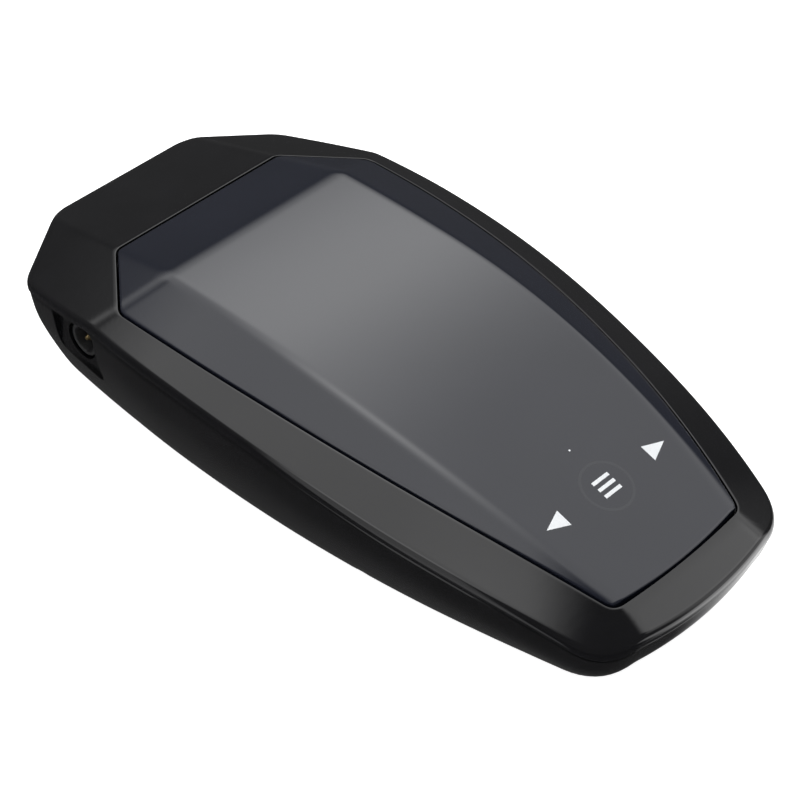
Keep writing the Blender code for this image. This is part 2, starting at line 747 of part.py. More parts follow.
def make_foot(name, x, y, mat):
    bm = bmesh.new()
    top = FLOOR_Z + FOOT_WELL_DEPTH - GAP
    add_cylinder(bm, (x, y, 0), (x, y, top), FOOT_RADIUS)
    return finish(bm, name, mat, smooth=True)


def make_screw(name, x, y, seat, direction, length, radius, head_radius, head_height, mat):
    """A round-headed screw whose head bears on seat; direction is the way its shank runs, up or down."""
    socket = radius * 0.8
    profile = [
        (0.0, -head_height + socket / 2),
        (socket, -head_height + socket / 2),
        (socket, -head_height),
        (head_radius * 0.85, -head_height),
        (head_radius, -head_height * 0.6),
        (head_radius, 0.0),
        (radius, 0.0),
        (radius, length - radius),
        (0.0, length),
    ]
    flip = Matrix.Rotation(math.pi, 4, "X") if direction < 0 else Matrix.Identity(4)
    place = Matrix.Translation((x, y, seat)) @ flip
    return finish(turned(profile, SMALL_ROUND, place), name, mat, smooth=True)


# ---------------------------------------------------------------- inside


def make_main_board(mat):
    bm = bmesh.new()
    add_box(bm, (-BOARD_HALF, BOARD_DRIVER_Y, BOARD_Z), (BOARD_HALF, BOARD_ROAD_Y, BOARD_TOP))
    upright = [edge for edge in bm.edges if abs(edge.verts[0].co.z - edge.verts[1].co.z) > GAP]
    bmesh.ops.bevel(bm, geom=upright, offset=2 * WALL, segments=1, affect="EDGES")
    board = finish(bm, "main_board", mat)
    holes = bmesh.new()
    for x, y in BOARD_SCREW_PLACES:
        add_cylinder(holes, (x, y, 0), (x, y, 2 * BOARD_TOP), BOARD_SCREW_RADIUS + GAP, SMALL_ROUND)
    cut(board, tool(holes, "board_holes"))
    return board


def make_touch_spring(name, x, mat):
    """A conical coil whose top turn lies under the lens, behind one key's mark."""
    start = BOARD_TOP + GAP + SPRING_WIRE
    under_lens = top_z(x + SPRING_RADIUS, KEY_Y - SPRING_RADIUS) - LENS_THICKNESS
    height = under_lens - GAP - SPRING_WIRE - start
    steps = SPRING_TURNS * SMALL_ROUND
    curve = bpy.data.curves.new(name, "CURVE")
    curve.dimensions = "3D"
    curve.bevel_depth = SPRING_WIRE
    curve.bevel_resolution = 0
    curve.use_fill_caps = True
    spline = curve.splines.new("POLY")
    spline.points.add(steps)
    for i in range(steps + 1):
        share = i / steps
        angle = math.tau * SPRING_TURNS * share
        radius = SPRING_RADIUS + (SPRING_TOP_RADIUS - SPRING_RADIUS) * share
        spline.points[i].co = (radius * math.cos(angle), radius * math.sin(angle), height * share, 1.0)
    curve.materials.append(mat)
    obj = bpy.data.objects.new(name, curve)
    obj.location = (x, KEY_Y, start)
    bpy.context.scene.collection.objects.link(obj)
    return obj


def display_place():
    """The frame of the display's top face: under the lens and parallel to it."""
    slope = (arch_z(DISPLAY_Y + WALL) - arch_z(DISPLAY_Y - WALL)) / (2 * WALL)
    centre_z = arch_z(DISPLAY_Y) - LENS_THICKNESS - DISPLAY_LENS_GAP
    return Matrix.Translation((0, DISPLAY_Y, centre_z)) @ Matrix.Rotation(math.atan(slope), 4, "X")


def make_display_panel(mat):
    bm = bmesh.new()
    half_width = DISPLAY_WIDTH / 2
    half_length = DISPLAY_LENGTH / 2
    add_box(bm, (-half_width, -half_length, -DISPLAY_THICKNESS), (half_width, half_length, 0))
    bmesh.ops.transform(bm, matrix=display_place(), verts=bm.verts)
    return finish(bm, "display_panel", mat)


def make_display_holder(mat):
    """A four-walled frame that carries the display above the main board."""
    bm = bmesh.new()
    half_width = DISPLAY_WIDTH / 2
    half_length = DISPLAY_LENGTH / 2
    low = BOARD_TOP + GAP
    high = CREST_Z
    add_box(bm, (-half_width, DISPLAY_Y - half_length, low), (half_width, DISPLAY_Y + half_length, high))
    holder = finish(bm, "display_holder", mat)
    inside = bmesh.new()
    inner_width = half_width - HOLDER_WALL
    inner_length = half_length - HOLDER_WALL
    add_box(
        inside,
        (-inner_width, DISPLAY_Y - inner_length, low - WALL),
        (inner_width, DISPLAY_Y + inner_length, high + WALL),
    )
    cut(holder, tool(inside, "holder_inside"))
    above = bmesh.new()
    reach = 2 * DISPLAY_WIDTH
    add_box(above, (-reach, -reach, -DISPLAY_THICKNESS - GAP), (reach, reach, reach))
    bmesh.ops.transform(above, matrix=display_place(), verts=above.verts)
    cut(holder, tool(above, "holder_top_cutter"))
    return holder


def make_display_ribbon(mat):
    """A flat cable from the display's driver-side edge, round and down to the main board."""
    edge = display_place() @ Vector((0, -DISPLAY_LENGTH / 2 - GAP, -DISPLAY_THICKNESS / 2))
    end_z = BOARD_TOP + GAP + RIBBON_THICKNESS / 2
    radius = RIBBON_REACH / 2
    path = [Vector((edge.y, edge.z))]
    bends = (
        (Vector((edge.y - radius, edge.z - radius)), 90, 1),
        (Vector((edge.y - 3 * radius, end_z + radius)), 0, -1),
    )
    for centre, start, turn in bends:
        for i in range(RIBBON_BEND_STEPS + 1):
            angle = math.radians(start + turn * 90 * i / RIBBON_BEND_STEPS)
            path.append(centre + radius * Vector((math.cos(angle), math.sin(angle))))
    half = RIBBON_THICKNESS / 2
    sides = ([], [])
    for i, point in enumerate(path):
        before = path[max(i - 1, 0)]
        after = path[min(i + 1, len(path) - 1)]
        along = (after - before).normalized()
        normal = Vector((-along.y, along.x)) * half
        sides[0].append(point + normal)
        sides[1].append(point - normal)
    outline = sides[0] + list(reversed(sides[1]))
    bm = bmesh.new()
    points = [bm.verts.new((-RIBBON_WIDTH / 2, point.x, point.y)) for point in outline]
    face = bm.faces.new(points)
    grown = bmesh.ops.extrude_face_region(bm, geom=[face])["geom"]
    moved = [item for item in grown if isinstance(item, bmesh.types.BMVert)]
    bmesh.ops.translate(bm, vec=(RIBBON_WIDTH, 0, 0), verts=moved)
    return finish(bm, "display_ribbon", mat)


def make_board_block(name, x, y, size, height, mat, bevel=0.0):
    """A square part that lies on the main board."""
    bm = bmesh.new()
    low = BOARD_TOP + GAP
    add_box(bm, (x - size / 2, y - size / 2, low), (x + size / 2, y + size / 2, low + height))
    if bevel:
        upright = [edge for edge in bm.edges if abs(edge.verts[0].co.z - edge.verts[1].co.z) > GAP]
        bmesh.ops.bevel(bm, geom=upright, offset=bevel, segments=1, affect="EDGES")
    return finish(bm, name, mat)


def make_capacitor(name, y, mat):
    """An upright can with a groove rolled in near its foot and a rounded top edge."""
    low = BOARD_TOP + GAP
    top = low + CAPACITOR_HEIGHT
    groove = low + CAPACITOR_GROOVE_LOW
    profile = [
        (0.0, low),
        (CAPACITOR_RADIUS, low),
        (CAPACITOR_RADIUS, groove),
        (CAPACITOR_NECK, groove + CAPACITOR_GROOVE_STEP),
        (CAPACITOR_RADIUS, groove + 2 * CAPACITOR_GROOVE_STEP),
        (CAPACITOR_RADIUS, top - CAPACITOR_GROOVE_STEP),
        (CAPACITOR_NECK, top),
        (0.0, top),
    ]
    can = turned(profile, SMALL_ROUND, Matrix.Translation((CAPACITOR_X, y, 0)))
    return finish(can, name, mat, smooth=True)


def make_speaker(frame_mat, magnet_mat, cone_mat):
    """The loudspeaker, facing down through the grille: frame, magnet and moving cone."""
    place = Matrix.Translation((0, SPEAKER_Y, 0))
    base = INNER_FLOOR_Z + GAP
    rim = SPEAKER_RADIUS - CONE_RADIUS - 2 * GAP
    plate = base + SPEAKER_DEPTH
    plate_top = plate + SPEAKER_PLATE
    neck = COIL_RADIUS + 4 * GAP
    frame_profile = [
        (SPEAKER_RADIUS - rim, base),
        (SPEAKER_RADIUS, base),
        (SPEAKER_RADIUS, base + SPEAKER_RIM_HEIGHT),
        (SPEAKER_RADIUS - SPEAKER_TAPER, plate - SPEAKER_TAPER / 2),
        (MAGNET_RADIUS + GAP, plate_top),
        (neck, plate_top),
        (neck, plate),
        (MAGNET_RADIUS, plate),
        (CONE_RADIUS + GAP, plate - SPEAKER_TAPER - GAP),
        (CONE_RADIUS + GAP, base + SPEAKER_RIM_HEIGHT),
    ]
    frame = finish(turned(frame_profile, place=place), "speaker_frame", frame_mat, smooth=True)

    magnet_low = plate_top + GAP
    magnet_high = BOARD_Z - GAP
    coil_outer = COIL_RADIUS + COIL_THICKNESS
    pole = COIL_RADIUS - 1.5 * GAP
    groove = coil_outer + 1.5 * GAP
    magnet_profile = [
        (0.0, magnet_low),
        (pole, magnet_low),
        (pole, magnet_high - MAGNET_PLATE),
        (groove, magnet_high - MAGNET_PLATE),
        (groove, magnet_low),
        (MAGNET_RADIUS, magnet_low),
        (MAGNET_RADIUS, magnet_high),
        (0.0, magnet_high),
    ]
    magnet = finish(turned(magnet_profile, place=place), "speaker_magnet", magnet_mat, smooth=True)

    cone_low = base + CONE_LIFT
    neck_z = cone_low + CONE_RISE
    coil_top = magnet_high - MAGNET_PLATE - COIL_HEADROOM
    cone_profile = [
        (0.0, neck_z - DUST_CAP_SAG),
        (COIL_RADIUS, neck_z),
        (CONE_RADIUS, cone_low),
        (CONE_RADIUS, cone_low + CONE_THICKNESS),
        (coil_outer, neck_z + CONE_THICKNESS),
        (coil_outer, coil_top),
        (COIL_RADIUS, coil_top),
        (COIL_RADIUS, neck_z + CONE_THICKNESS),
        (0.0, neck_z + CONE_THICKNESS - DUST_CAP_SAG),
    ]
    cone = finish(turned(cone_profile), "speaker_cone", cone_mat, smooth=True)
    cone.location = (0, SPEAKER_Y, 0)
    return frame, magnet, cone


def box_ring(y, half, low, high):
    return [
        Vector((HORN_X - half, y, low)),
        Vector((HORN_X + half, y, low)),
        Vector((HORN_X + half, y, high)),
        Vector((HORN_X - half, y, high)),
    ]


def make_horn(mat):
    """The microwave horn: a closed block at its back that flares to an open mouth facing the road."""
    wall = HORN_WALL
    throat_half = HORN_THROAT_HALF - wall
    throat_low = HORN_THROAT_LOW + wall
    throat_high = HORN_THROAT_HIGH - wall
    rings = [
        box_ring(HORN_BACK_Y, HORN_THROAT_HALF, HORN_THROAT_LOW, HORN_THROAT_HIGH),
        box_ring(HORN_THROAT_Y, HORN_THROAT_HALF, HORN_THROAT_LOW, HORN_THROAT_HIGH),
        box_ring(HORN_MOUTH_Y, HORN_MOUTH_HALF, HORN_MOUTH_LOW, HORN_MOUTH_HIGH),
        box_ring(HORN_MOUTH_Y, HORN_MOUTH_HALF - wall, HORN_MOUTH_LOW + wall, HORN_MOUTH_HIGH - wall),
        box_ring(HORN_THROAT_Y, throat_half, throat_low, throat_high),
        box_ring(HORN_BACK_Y + wall, throat_half, throat_low, throat_high),
    ]
    bm = loft(rings, caps=False)
    bm.verts.ensure_lookup_table()
    bm.faces.new(bm.verts[:4])
    bm.faces.new(bm.verts[-4:])
    return finish(bm, "horn_antenna", mat)


def make_radio_board(mat):
    bm = bmesh.new()
    low = HORN_THROAT_HIGH + GAP
    add_box(
        bm,
        (HORN_X - RADIO_BOARD_HALF, RADIO_BOARD_DRIVER_Y, low),
        (HORN_X + RADIO_BOARD_HALF, RADIO_BOARD_ROAD_Y, low + RADIO_BOARD_THICKNESS),
    )
    return finish(bm, "radio_board", mat)


def make_radio_can(mat):
    """The pressed metal can over the radio board, open below."""
    low = HORN_THROAT_HIGH + GAP + RADIO_BOARD_THICKNESS + GAP
    half = RADIO_BOARD_HALF - CAN_MARGIN
    driver = RADIO_BOARD_DRIVER_Y + CAN_MARGIN
    road = RADIO_BOARD_ROAD_Y - CAN_MARGIN
    bm = bmesh.new()
    add_box(bm, (HORN_X - half, driver, low), (HORN_X + half, road, low + CAN_HEIGHT))
    can = finish(bm, "radio_can", mat)
    inside = bmesh.new()
    add_box(
        inside,
        (HORN_X - half + CAN_WALL, driver + CAN_WALL, low - WALL),
        (HORN_X + half - CAN_WALL, road - CAN_WALL, low + CAN_HEIGHT - CAN_WALL),
    )
    cut(can, tool(inside, "can_inside"))
    return can


def along_road(x, z):
    """Turns a spun piece's axis to +Y, the way the laser sensor looks."""
    return Matrix.Translation((x, 0, z)) @ Matrix.Rotation(-math.pi / 2, 4, "X")


def make_laser_sensor(holder_mat, lens_mat):
    """The light sensor: a tube with a closed back, and the lens in its mouth."""
    place = along_road(LASER_X, LASER_Z)
    bore = LASER_RADIUS - LASER_TUBE_WALL
    profile = [
        (0.0, LASER_BACK_Y),
        (LASER_RADIUS, LASER_BACK_Y),
        (LASER_RADIUS, LASER_FRONT_Y),
        (bore, LASER_FRONT_Y),
        (bore, LASER_BACK_Y + WALL),
        (0.0, LASER_BACK_Y + WALL),
    ]
    holder = finish(turned(profile, place=place), "laser_sensor_tube", holder_mat, smooth=True)
    lens_radius = bore - GAP
    flat = LASER_FRONT_Y - LASER_LENS_DEPTH
    lens_profile = [
        (0.0, flat),
        (lens_radius, flat),
        (lens_radius, flat + LASER_LENS_DEPTH / 2),
        (lens_radius * 0.75, flat + LASER_LENS_DEPTH * 0.8),
        (lens_radius * 0.4, flat + LASER_LENS_DEPTH * 0.95),
        (0.0, flat + LASER_LENS_DEPTH),
    ]
    lens = finish(turned(lens_profile, place=place), "laser_sensor_lens", lens_mat, smooth=True)
    return holder, lens


def make_laser_window(mat):
    bm = bmesh.new()
    add_box(
        bm,
        (LASER_X - WINDOW_WIDTH / 2, WINDOW_Y - WINDOW_THICKNESS / 2, LASER_Z - WINDOW_HEIGHT / 2),
        (LASER_X + WINDOW_WIDTH / 2, WINDOW_Y + WINDOW_THICKNESS / 2, LASER_Z + WINDOW_HEIGHT / 2),
    )
    return finish(bm, "laser_window", mat)


def power_board_z():
    return SOCKET_Z - SOCKET_HALF + GAP / 2 - POWER_BOARD_THICKNESS - GAP


def make_power_board(mat):
    bm = bmesh.new()
    low = power_board_z()
    room = min(inside_half(SOCKET_Y + side * POWER_BOARD_HALF, low) for side in (1, -1))
    add_box(
        bm,
        (-min(POWER_BOARD_OUTER_X, room - SNUG), SOCKET_Y - POWER_BOARD_HALF, low),
        (-POWER_BOARD_INNER_X, SOCKET_Y + POWER_BOARD_HALF, low + POWER_BOARD_THICKNESS),
    )
    return finish(bm, "power_board", mat)


def make_power_socket(mat):
    """The coaxial power inlet: a square body with a round nose in the shell's hole, bored for the plug."""
    bm = bmesh.new()
    bottom = SOCKET_Z - SOCKET_HALF + GAP / 2
    room = min(inside_half(SOCKET_Y + side * SOCKET_HALF, bottom) for side in (1, -1))
    back = -min(POCKET_INNER_X - SOCKET_SETBACK, room - SNUG)
    add_box(
        bm,
        (back, SOCKET_Y - SOCKET_HALF, bottom),
        (back + SOCKET_LENGTH, SOCKET_Y + SOCKET_HALF, SOCKET_Z + SOCKET_HALF),
    )
    socket = finish(bm, "power_socket", mat)
    nose = bmesh.new()
    face = -POCKET_FLOOR_X + GAP
    add_cylinder(nose, (face, SOCKET_Y, SOCKET_Z), (back + WALL, SOCKET_Y, SOCKET_Z), SOCKET_NOSE)
    join(socket, tool(nose, "socket_nose"))
    bore = bmesh.new()
    add_cylinder(
        bore, (face - WALL, SOCKET_Y, SOCKET_Z), (face + SOCKET_BORE_DEPTH, SOCKET_Y, SOCKET_Z), SOCKET_BORE
    )
    cut(socket, tool(bore, "socket_bore"))
    return socket


def make_socket_pin(mat):
    """The inlet's centre contact, standing in the bore with its rounded end a little behind the mouth."""
    front = -POCKET_FLOOR_X + 2.5 * GAP
    length = SOCKET_BORE_DEPTH - 2.5 * GAP
    profile = [(0.0, 0.0), (PIN_RADIUS * 0.5, 0.0), (PIN_RADIUS, PIN_RADIUS), (PIN_RADIUS, length), (0.0, length)]
    place = Matrix.Translation((front, SOCKET_Y, SOCKET_Z)) @ Matrix.Rotation(math.pi / 2, 4, "Y")
    return finish(turned(profile, SMALL_ROUND, place), "socket_pin", mat, smooth=True)


def make_power_switch(body_mat, slider_mat):
    """The slide switch: its body behind the shell, and the slider whose knob comes out through a slot."""
    low = SWITCH_Z - SWITCH_HALF_HEIGHT
    room = min(inside_half(SWITCH_Y + side * SWITCH_HALF_LENGTH, low) for side in (1, -1))
    front = min(POCKET_INNER_X - SWITCH_SETBACK, room - SNUG)
    back = front - SWITCH_DEPTH
    bm = bmesh.new()
    add_box(
        bm,
        (back, SWITCH_Y - SWITCH_HALF_LENGTH, low),
        (front, SWITCH_Y + SWITCH_HALF_LENGTH, SWITCH_Z + SWITCH_HALF_HEIGHT),
    )
    body = finish(bm, "power_switch_body", body_mat)
    channel = bmesh.new()
    slot_half = (KNOB_LENGTH + SWITCH_TRAVEL) / 2 + GAP
    slot_high = KNOB_HEIGHT / 2 + GAP
    add_box(
        channel,
        (back + WALL / 2, SWITCH_Y - slot_half, SWITCH_Z - slot_high),
        (front + WALL, SWITCH_Y + slot_half, SWITCH_Z + slot_high),
    )
    cut(body, tool(channel, "switch_channel"))

    knob = bmesh.new()
    rest_y = SWITCH_Y - SWITCH_TRAVEL / 2
    add_box(
        knob,
        (back + WALL / 2 + GAP, -KNOB_LENGTH / 2, SWITCH_Z - KNOB_HEIGHT / 2),
        (POCKET_FLOOR_X + KNOB_OUT, KNOB_LENGTH / 2, SWITCH_Z + KNOB_HEIGHT / 2),
    )
    outer = [edge for edge in knob.edges if min(vert.co.x for vert in edge.verts) > POCKET_FLOOR_X]
    bmesh.ops.bevel(knob, geom=outer, offset=GAP, segments=2, profile=0.5, affect="EDGES")
    slider = finish(knob, "power_switch_slider", slider_mat)
    slider.location = (0, rest_y, 0)
    return body, slider


# ---------------------------------------------------------------- assembly


def main():
    clear_scene()
    gloss_black = material("gloss_black_plastic", (0.012, 0.012, 0.014), 0.08)
    smoked = material("smoked_lens", (0.010, 0.011, 0.014), 0.04, transmission=0.2)
    matte_black = material("matte_black_plastic", (0.02, 0.02, 0.02), 0.5)
    tape = material("black_tape", (0.03, 0.03, 0.03), 0.7)
    rubber = material("foot_rubber", (0.03, 0.03, 0.03), 0.85)
    steel = material("black_screw_steel", (0.10, 0.10, 0.11), 0.35, metallic=1.0)
    spring_steel = material("spring_steel", (0.62, 0.60, 0.56), 0.3, metallic=1.0)
    green_board = material("green_circuit_board", (0.02, 0.12, 0.05), 0.45)
    horn_metal = material("cast_aluminium", (0.62, 0.62, 0.63), 0.42, metallic=1.0)
    can_metal = material("tinned_steel", (0.66, 0.66, 0.64), 0.3, metallic=1.0)
    ceramic = material("patch_ceramic", (0.72, 0.66, 0.55), 0.5)
    chip = material("chip_resin", (0.02, 0.02, 0.022), 0.4)
    panel = material("display_glass", (0.01, 0.012, 0.015), 0.1)
    ribbon = material("ribbon_film", (0.55, 0.28, 0.06), 0.35)
    clear = material("sensor_lens_plastic", (0.20, 0.02, 0.03), 0.06, transmission=0.6)
    paper = material("cone_paper", (0.05, 0.05, 0.05), 0.8)
    magnet_metal = material("magnet_plating", (0.55, 0.55, 0.57), 0.35, metallic=1.0)
    brass = material("contact_brass", (0.80, 0.62, 0.30), 0.3, metallic=1.0)
    silver_can = material("capacitor_can", (0.70, 0.70, 0.72), 0.3, metallic=1.0)
    knob = material("switch_knob_plastic", (0.05, 0.05, 0.055), 0.35)

    make_lower_shell(gloss_black)
    make_upper_shell(gloss_black)
    make_lens(smoked)
    make_lens_tape(tape)
    for number, (x, y) in enumerate(FOOT_PLACES, 1):
        make_foot(f"foot_{number}", x, y, rubber)
    for number, (x, y) in enumerate(both_sides(CASE_SCREW_PLACES), 1):
        make_screw(
            f"case_screw_{number}", x, y, SCREW_SEAT_Z - GAP, 1,
            CASE_SCREW_LENGTH, CASE_SCREW_RADIUS, CASE_HEAD_RADIUS, CASE_HEAD_HEIGHT, steel,
        )
    for number, (x, y) in enumerate(BOARD_SCREW_PLACES, 1):
        make_screw(
            f"board_screw_{number}", x, y, BOARD_TOP + GAP, -1,
            BOARD_SCREW_LENGTH, BOARD_SCREW_RADIUS, BOARD_HEAD_RADIUS, BOARD_HEAD_HEIGHT, steel,
        )

    make_main_board(green_board)
    for name, x in (("left", -KEY_PITCH), ("middle", 0.0), ("right", KEY_PITCH)):
        make_touch_spring(f"touch_spring_{name}", x, spring_steel)
    make_display_panel(panel)
    make_display_holder(matte_black)
    make_display_ribbon(ribbon)
    make_board_block("processor_chip", 0.0, DISPLAY_Y, CHIP_SIZE, CHIP_HEIGHT, chip)
    make_board_block("gps_patch_antenna", PATCH_X, PATCH_Y, PATCH_SIZE, PATCH_HEIGHT, ceramic, WALL / 2)
    for number, y in enumerate(CAPACITOR_YS, 1):
        make_capacitor(f"capacitor_{number}", y, silver_can)
    make_speaker(matte_black, magnet_metal, paper)

    make_horn(horn_metal)
    make_radio_board(green_board)
    make_radio_can(can_metal)
    make_laser_sensor(matte_black, clear)
    make_laser_window(smoked)
    make_power_board(green_board)
    make_power_socket(matte_black)
    make_socket_pin(brass)
    make_power_switch(matte_black, knob)


main()
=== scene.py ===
"""Dashboard radar detector: the visible model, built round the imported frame.

Metres, +Z up, +Y towards the road, +X to the driver's right. Lengths below are in millimetres times MM.
"""
import math
from collections import namedtuple

import bmesh
import bpy
from mathutils import Matrix, Vector


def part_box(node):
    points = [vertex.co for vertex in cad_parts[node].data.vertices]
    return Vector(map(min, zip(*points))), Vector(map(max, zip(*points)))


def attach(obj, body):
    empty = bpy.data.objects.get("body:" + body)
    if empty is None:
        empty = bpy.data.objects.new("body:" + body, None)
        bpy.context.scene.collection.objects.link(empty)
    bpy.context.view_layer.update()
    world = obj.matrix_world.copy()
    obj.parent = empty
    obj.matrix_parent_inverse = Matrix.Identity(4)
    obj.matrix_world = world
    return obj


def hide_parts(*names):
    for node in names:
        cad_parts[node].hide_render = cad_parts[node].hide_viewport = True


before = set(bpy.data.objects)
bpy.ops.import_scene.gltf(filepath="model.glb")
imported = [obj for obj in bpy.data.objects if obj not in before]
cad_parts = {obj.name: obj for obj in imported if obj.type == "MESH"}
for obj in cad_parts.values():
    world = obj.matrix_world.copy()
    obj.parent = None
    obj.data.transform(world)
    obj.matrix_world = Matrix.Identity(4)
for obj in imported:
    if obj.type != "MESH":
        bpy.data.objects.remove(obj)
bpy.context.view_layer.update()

MM = 0.001

# ---------------------------------------------------------------- sizes shared with the part

GAP = 0.3 * MM
WALL = 1.8 * MM
FLOOR_Z = 0.6 * MM
INNER_FLOOR_Z = FLOOR_Z + WALL

Outline = namedtuple(
    "Outline",
    "road_y road_half shoulder_y shoulder_half widest_y widest_half corner_y corner_half end_y"
    " road_cut shoulder_cut corner_cut",
)


def outline_mm(*values):
    return Outline(*(value * MM for value in values))


SEAM = outline_mm(57.0, 12.0, 48.9, 24.6, 15.2, 28.2, -54.6, 17.6, -57.0, 1.8, 2.0, 4.5)
FLOOR = outline_mm(49.0, 9.4, 40.6, 20.6, 25.0, 20.7, -45.0, 9.8, -45.8, 2.4, 2.6, 3.4)
LENS = outline_mm(38.6, 15.2, 27.9, 23.7, 26.0, 23.75, -51.2, 11.95, -51.7, 0.9, 0.9, 1.3)
RIDGE = outline_mm(26.4, 15.4, 25.2, 16.4, 2.6, 16.4, -50.3, 11.3, -50.7, 0.6, 0.6, 0.8)

SHOULDER_BOW = 2.0
SIDE_BOW = 2.2
CREST_Y = 6.2 * MM
CREST_Z = 26.4 * MM
ARCH_RADIUS_DRIVER = 162.0 * MM
ARCH_RADIUS_ROAD = 315.0 * MM
SIDE_SLOPE_ROAD = 0.42
SIDE_SLOPE_MIDDLE = 0.51
SIDE_SLOPE_DRIVER = 0.31
SLOPE_ROAD_Y = 20.0 * MM
SLOPE_MIDDLE_Y = -20.0 * MM
ROAD_SLOPE = 0.285
CHAMFER_SLOPE_ALONG = 0.31
CHAMFER_SLOPE_ACROSS = 0.33
DRIVER_SLOPE = 0.50
EDGE_INSET = 0.5 * MM
EDGE_DROP = 0.8 * MM
SEAM_DROP = 1.4 * MM
SEAM_STEP = 0.2 * MM
LENS_GAP = 0.3 * MM
LENS_THICKNESS = 1.5 * MM
LEDGE_DEPTH = 2.5 * MM
LEDGE_WIDTH = 2.2 * MM
LEDGE_THICKNESS = 1.2 * MM
SIDE_PROFILE = ((0.0, 0.0), (0.09, 0.32), (0.33, 0.66), (0.58, 0.90), (0.82, 0.98), (1.0, 1.0))

CASE_SCREW_PLACES = ((20.6 * MM, 26.5 * MM), (18.8 * MM, -16.0 * MM))
BOSS_RADIUS = 4.0 * MM
COUNTERBORE_RADIUS = 2.9 * MM
SCREW_SEAT_Z = 4.2 * MM
BOSS_SHOULDER_Z = 5.6 * MM
FOOT_RADIUS = 4.0 * MM
FOOT_WELL_DEPTH = 0.8 * MM
SPEAKER_Y = -12.0 * MM
GRILLE_SLOTS = 5
GRILLE_PITCH = 2.8 * MM
GRILLE_SLOT_WIDTH = 1.2 * MM
GRILLE_RADIUS = 7.6 * MM
POCKET_FLOOR_X = 24.9 * MM
POCKET_WALL = 1.6 * MM
POCKET_INNER_X = POCKET_FLOOR_X - POCKET_WALL
SOCKET_Y = 36.0 * MM
SOCKET_Z = 12.9 * MM
SOCKET_NOSE = 2.6 * MM
SOCKET_BORE = 1.9 * MM
SOCKET_BORE_DEPTH = 6.6 * MM
SOCKET_EDGE = 0.18 * MM
SOCKET_POCKET_DRIVER_Y = 30.4 * MM
SOCKET_POCKET_ROAD_Y = 41.0 * MM
SOCKET_POCKET_LOW = 8.9 * MM
POCKET_CORNER = 1.6 * MM
SWITCH_Y = 35.0 * MM
SWITCH_Z = 13.0 * MM
SWITCH_TRAVEL = 2.0 * MM
KNOB_LENGTH = 1.8 * MM
KNOB_HEIGHT = 2.4 * MM
SWITCH_POCKET_MARGIN = 1.4 * MM
SWITCH_HALF_LENGTH = 4.2 * MM
KEY_Y = -39.1 * MM
SPRING_RADIUS = 3.5 * MM

# Fineness of the visible skins
ROAD_STEPS = 14
CHAMFER_STEPS = 16
SIDE_STEPS = 96
END_STEPS = 18
CORNER_STEPS = 8
SKIN_STEPS = 22
LENS_ACROSS = 108
LENS_ALONG = 200
SHELL_CREASE = 0.22 * MM
LENS_CREASE = 0.34 * MM
UPPER_LIP = 0.16 * MM
LOWER_LIP = 0.14 * MM
LENS_EDGE = 0.16 * MM
INK_LIFT = 0.012 * MM
EDGE_STEPS = 7
LIP_STEPS = 4

# ---------------------------------------------------------------- outlines and the top surface


def side_half(outline, y):
    """Half the width of an outline's long side at y."""
    if y > outline.widest_y:
        share = (y - outline.widest_y) / (outline.shoulder_y - outline.widest_y)
        return outline.widest_half - (outline.widest_half - outline.shoulder_half) * share**SHOULDER_BOW
    share = (outline.widest_y - y) / (outline.widest_y - outline.corner_y)
    return outline.widest_half - (outline.widest_half - outline.corner_half) * share**SIDE_BOW


def outline_edges(outline):
    """The four edges of an outline's +X half, each a function of the share along it."""
    road_corner = Vector((outline.road_half, outline.road_y))
    shoulder = Vector((outline.shoulder_half, outline.shoulder_y))

    def road(share):
        return Vector((outline.road_half * share, outline.road_y))

    def chamfer(share):
        return road_corner.lerp(shoulder, share)

    def side(share):
        y = outline.shoulder_y + (outline.corner_y - outline.shoulder_y) * share
        return Vector((side_half(outline, y), y))

    def end(share):
        bow = (1 - share) ** 2
        y = outline.end_y + (outline.corner_y - outline.end_y) * bow
        return Vector((outline.corner_half * (1 - share), y))

    return road, chamfer, side, end


def outward(edge, share):
    step = 1e-4
    along = edge(share + step) - edge(share - step)
    return Vector((-along.y, along.x)).normalized()


def edge_length(edge):
    return sum((edge((i + 1) / 16) - edge(i / 16)).length for i in range(16))


def half_outline(outline, grow):
    """The +X half from the road end's middle to the driver end's, moved out by grow, corners rounded."""
    edges = outline_edges(outline)
    cuts = (0.0, outline.road_cut, outline.shoulder_cut, outline.corner_cut, 0.0)
    steps = (ROAD_STEPS, CHAMFER_STEPS, SIDE_STEPS, END_STEPS)
    runs = []
    for i, edge in enumerate(edges):
        length = edge_length(edge)
        low = cuts[i] / length
        high = 1 - cuts[i + 1] / length
        shares = [low + (high - low) * j / steps[i] for j in range(steps[i] + 1)]
        runs.append([edge(share) + outward(edge, share) * grow for share in shares])
    points = list(runs[0])
    for before, after, edge, following in zip(edges, edges[1:], runs, runs[1:]):
        first, second = outward(before, 1.0), outward(after, 0.0)
        middle = (first + second).normalized()
        corner = before(1.0) + middle * grow / middle.dot(first)
        start, finish = edge[-1], following[0]
        for j in range(1, CORNER_STEPS):
            t = j / CORNER_STEPS
            points.append(start * (1 - t) ** 2 + corner * 2 * t * (1 - t) + finish * t**2)
        points.extend(following)
    return points


def plan(outline, grow=0.0):
    """A closed loop of plan points, symmetric about X = 0."""
    half = half_outline(outline, grow)
    return half + [Vector((-point.x, point.y)) for point in reversed(half[1:-1])]


def soft_min(first, second, width):
    """The smaller of two heights, with the crease between them rounded over that height."""
    near = max(width - abs(first - second), 0.0) / width
    return min(first, second) - near * near * width / 4


def arch_z(y):
    radius = ARCH_RADIUS_DRIVER if y < CREST_Y else ARCH_RADIUS_ROAD
    return CREST_Z - (y - CREST_Y) ** 2 / (2 * radius)


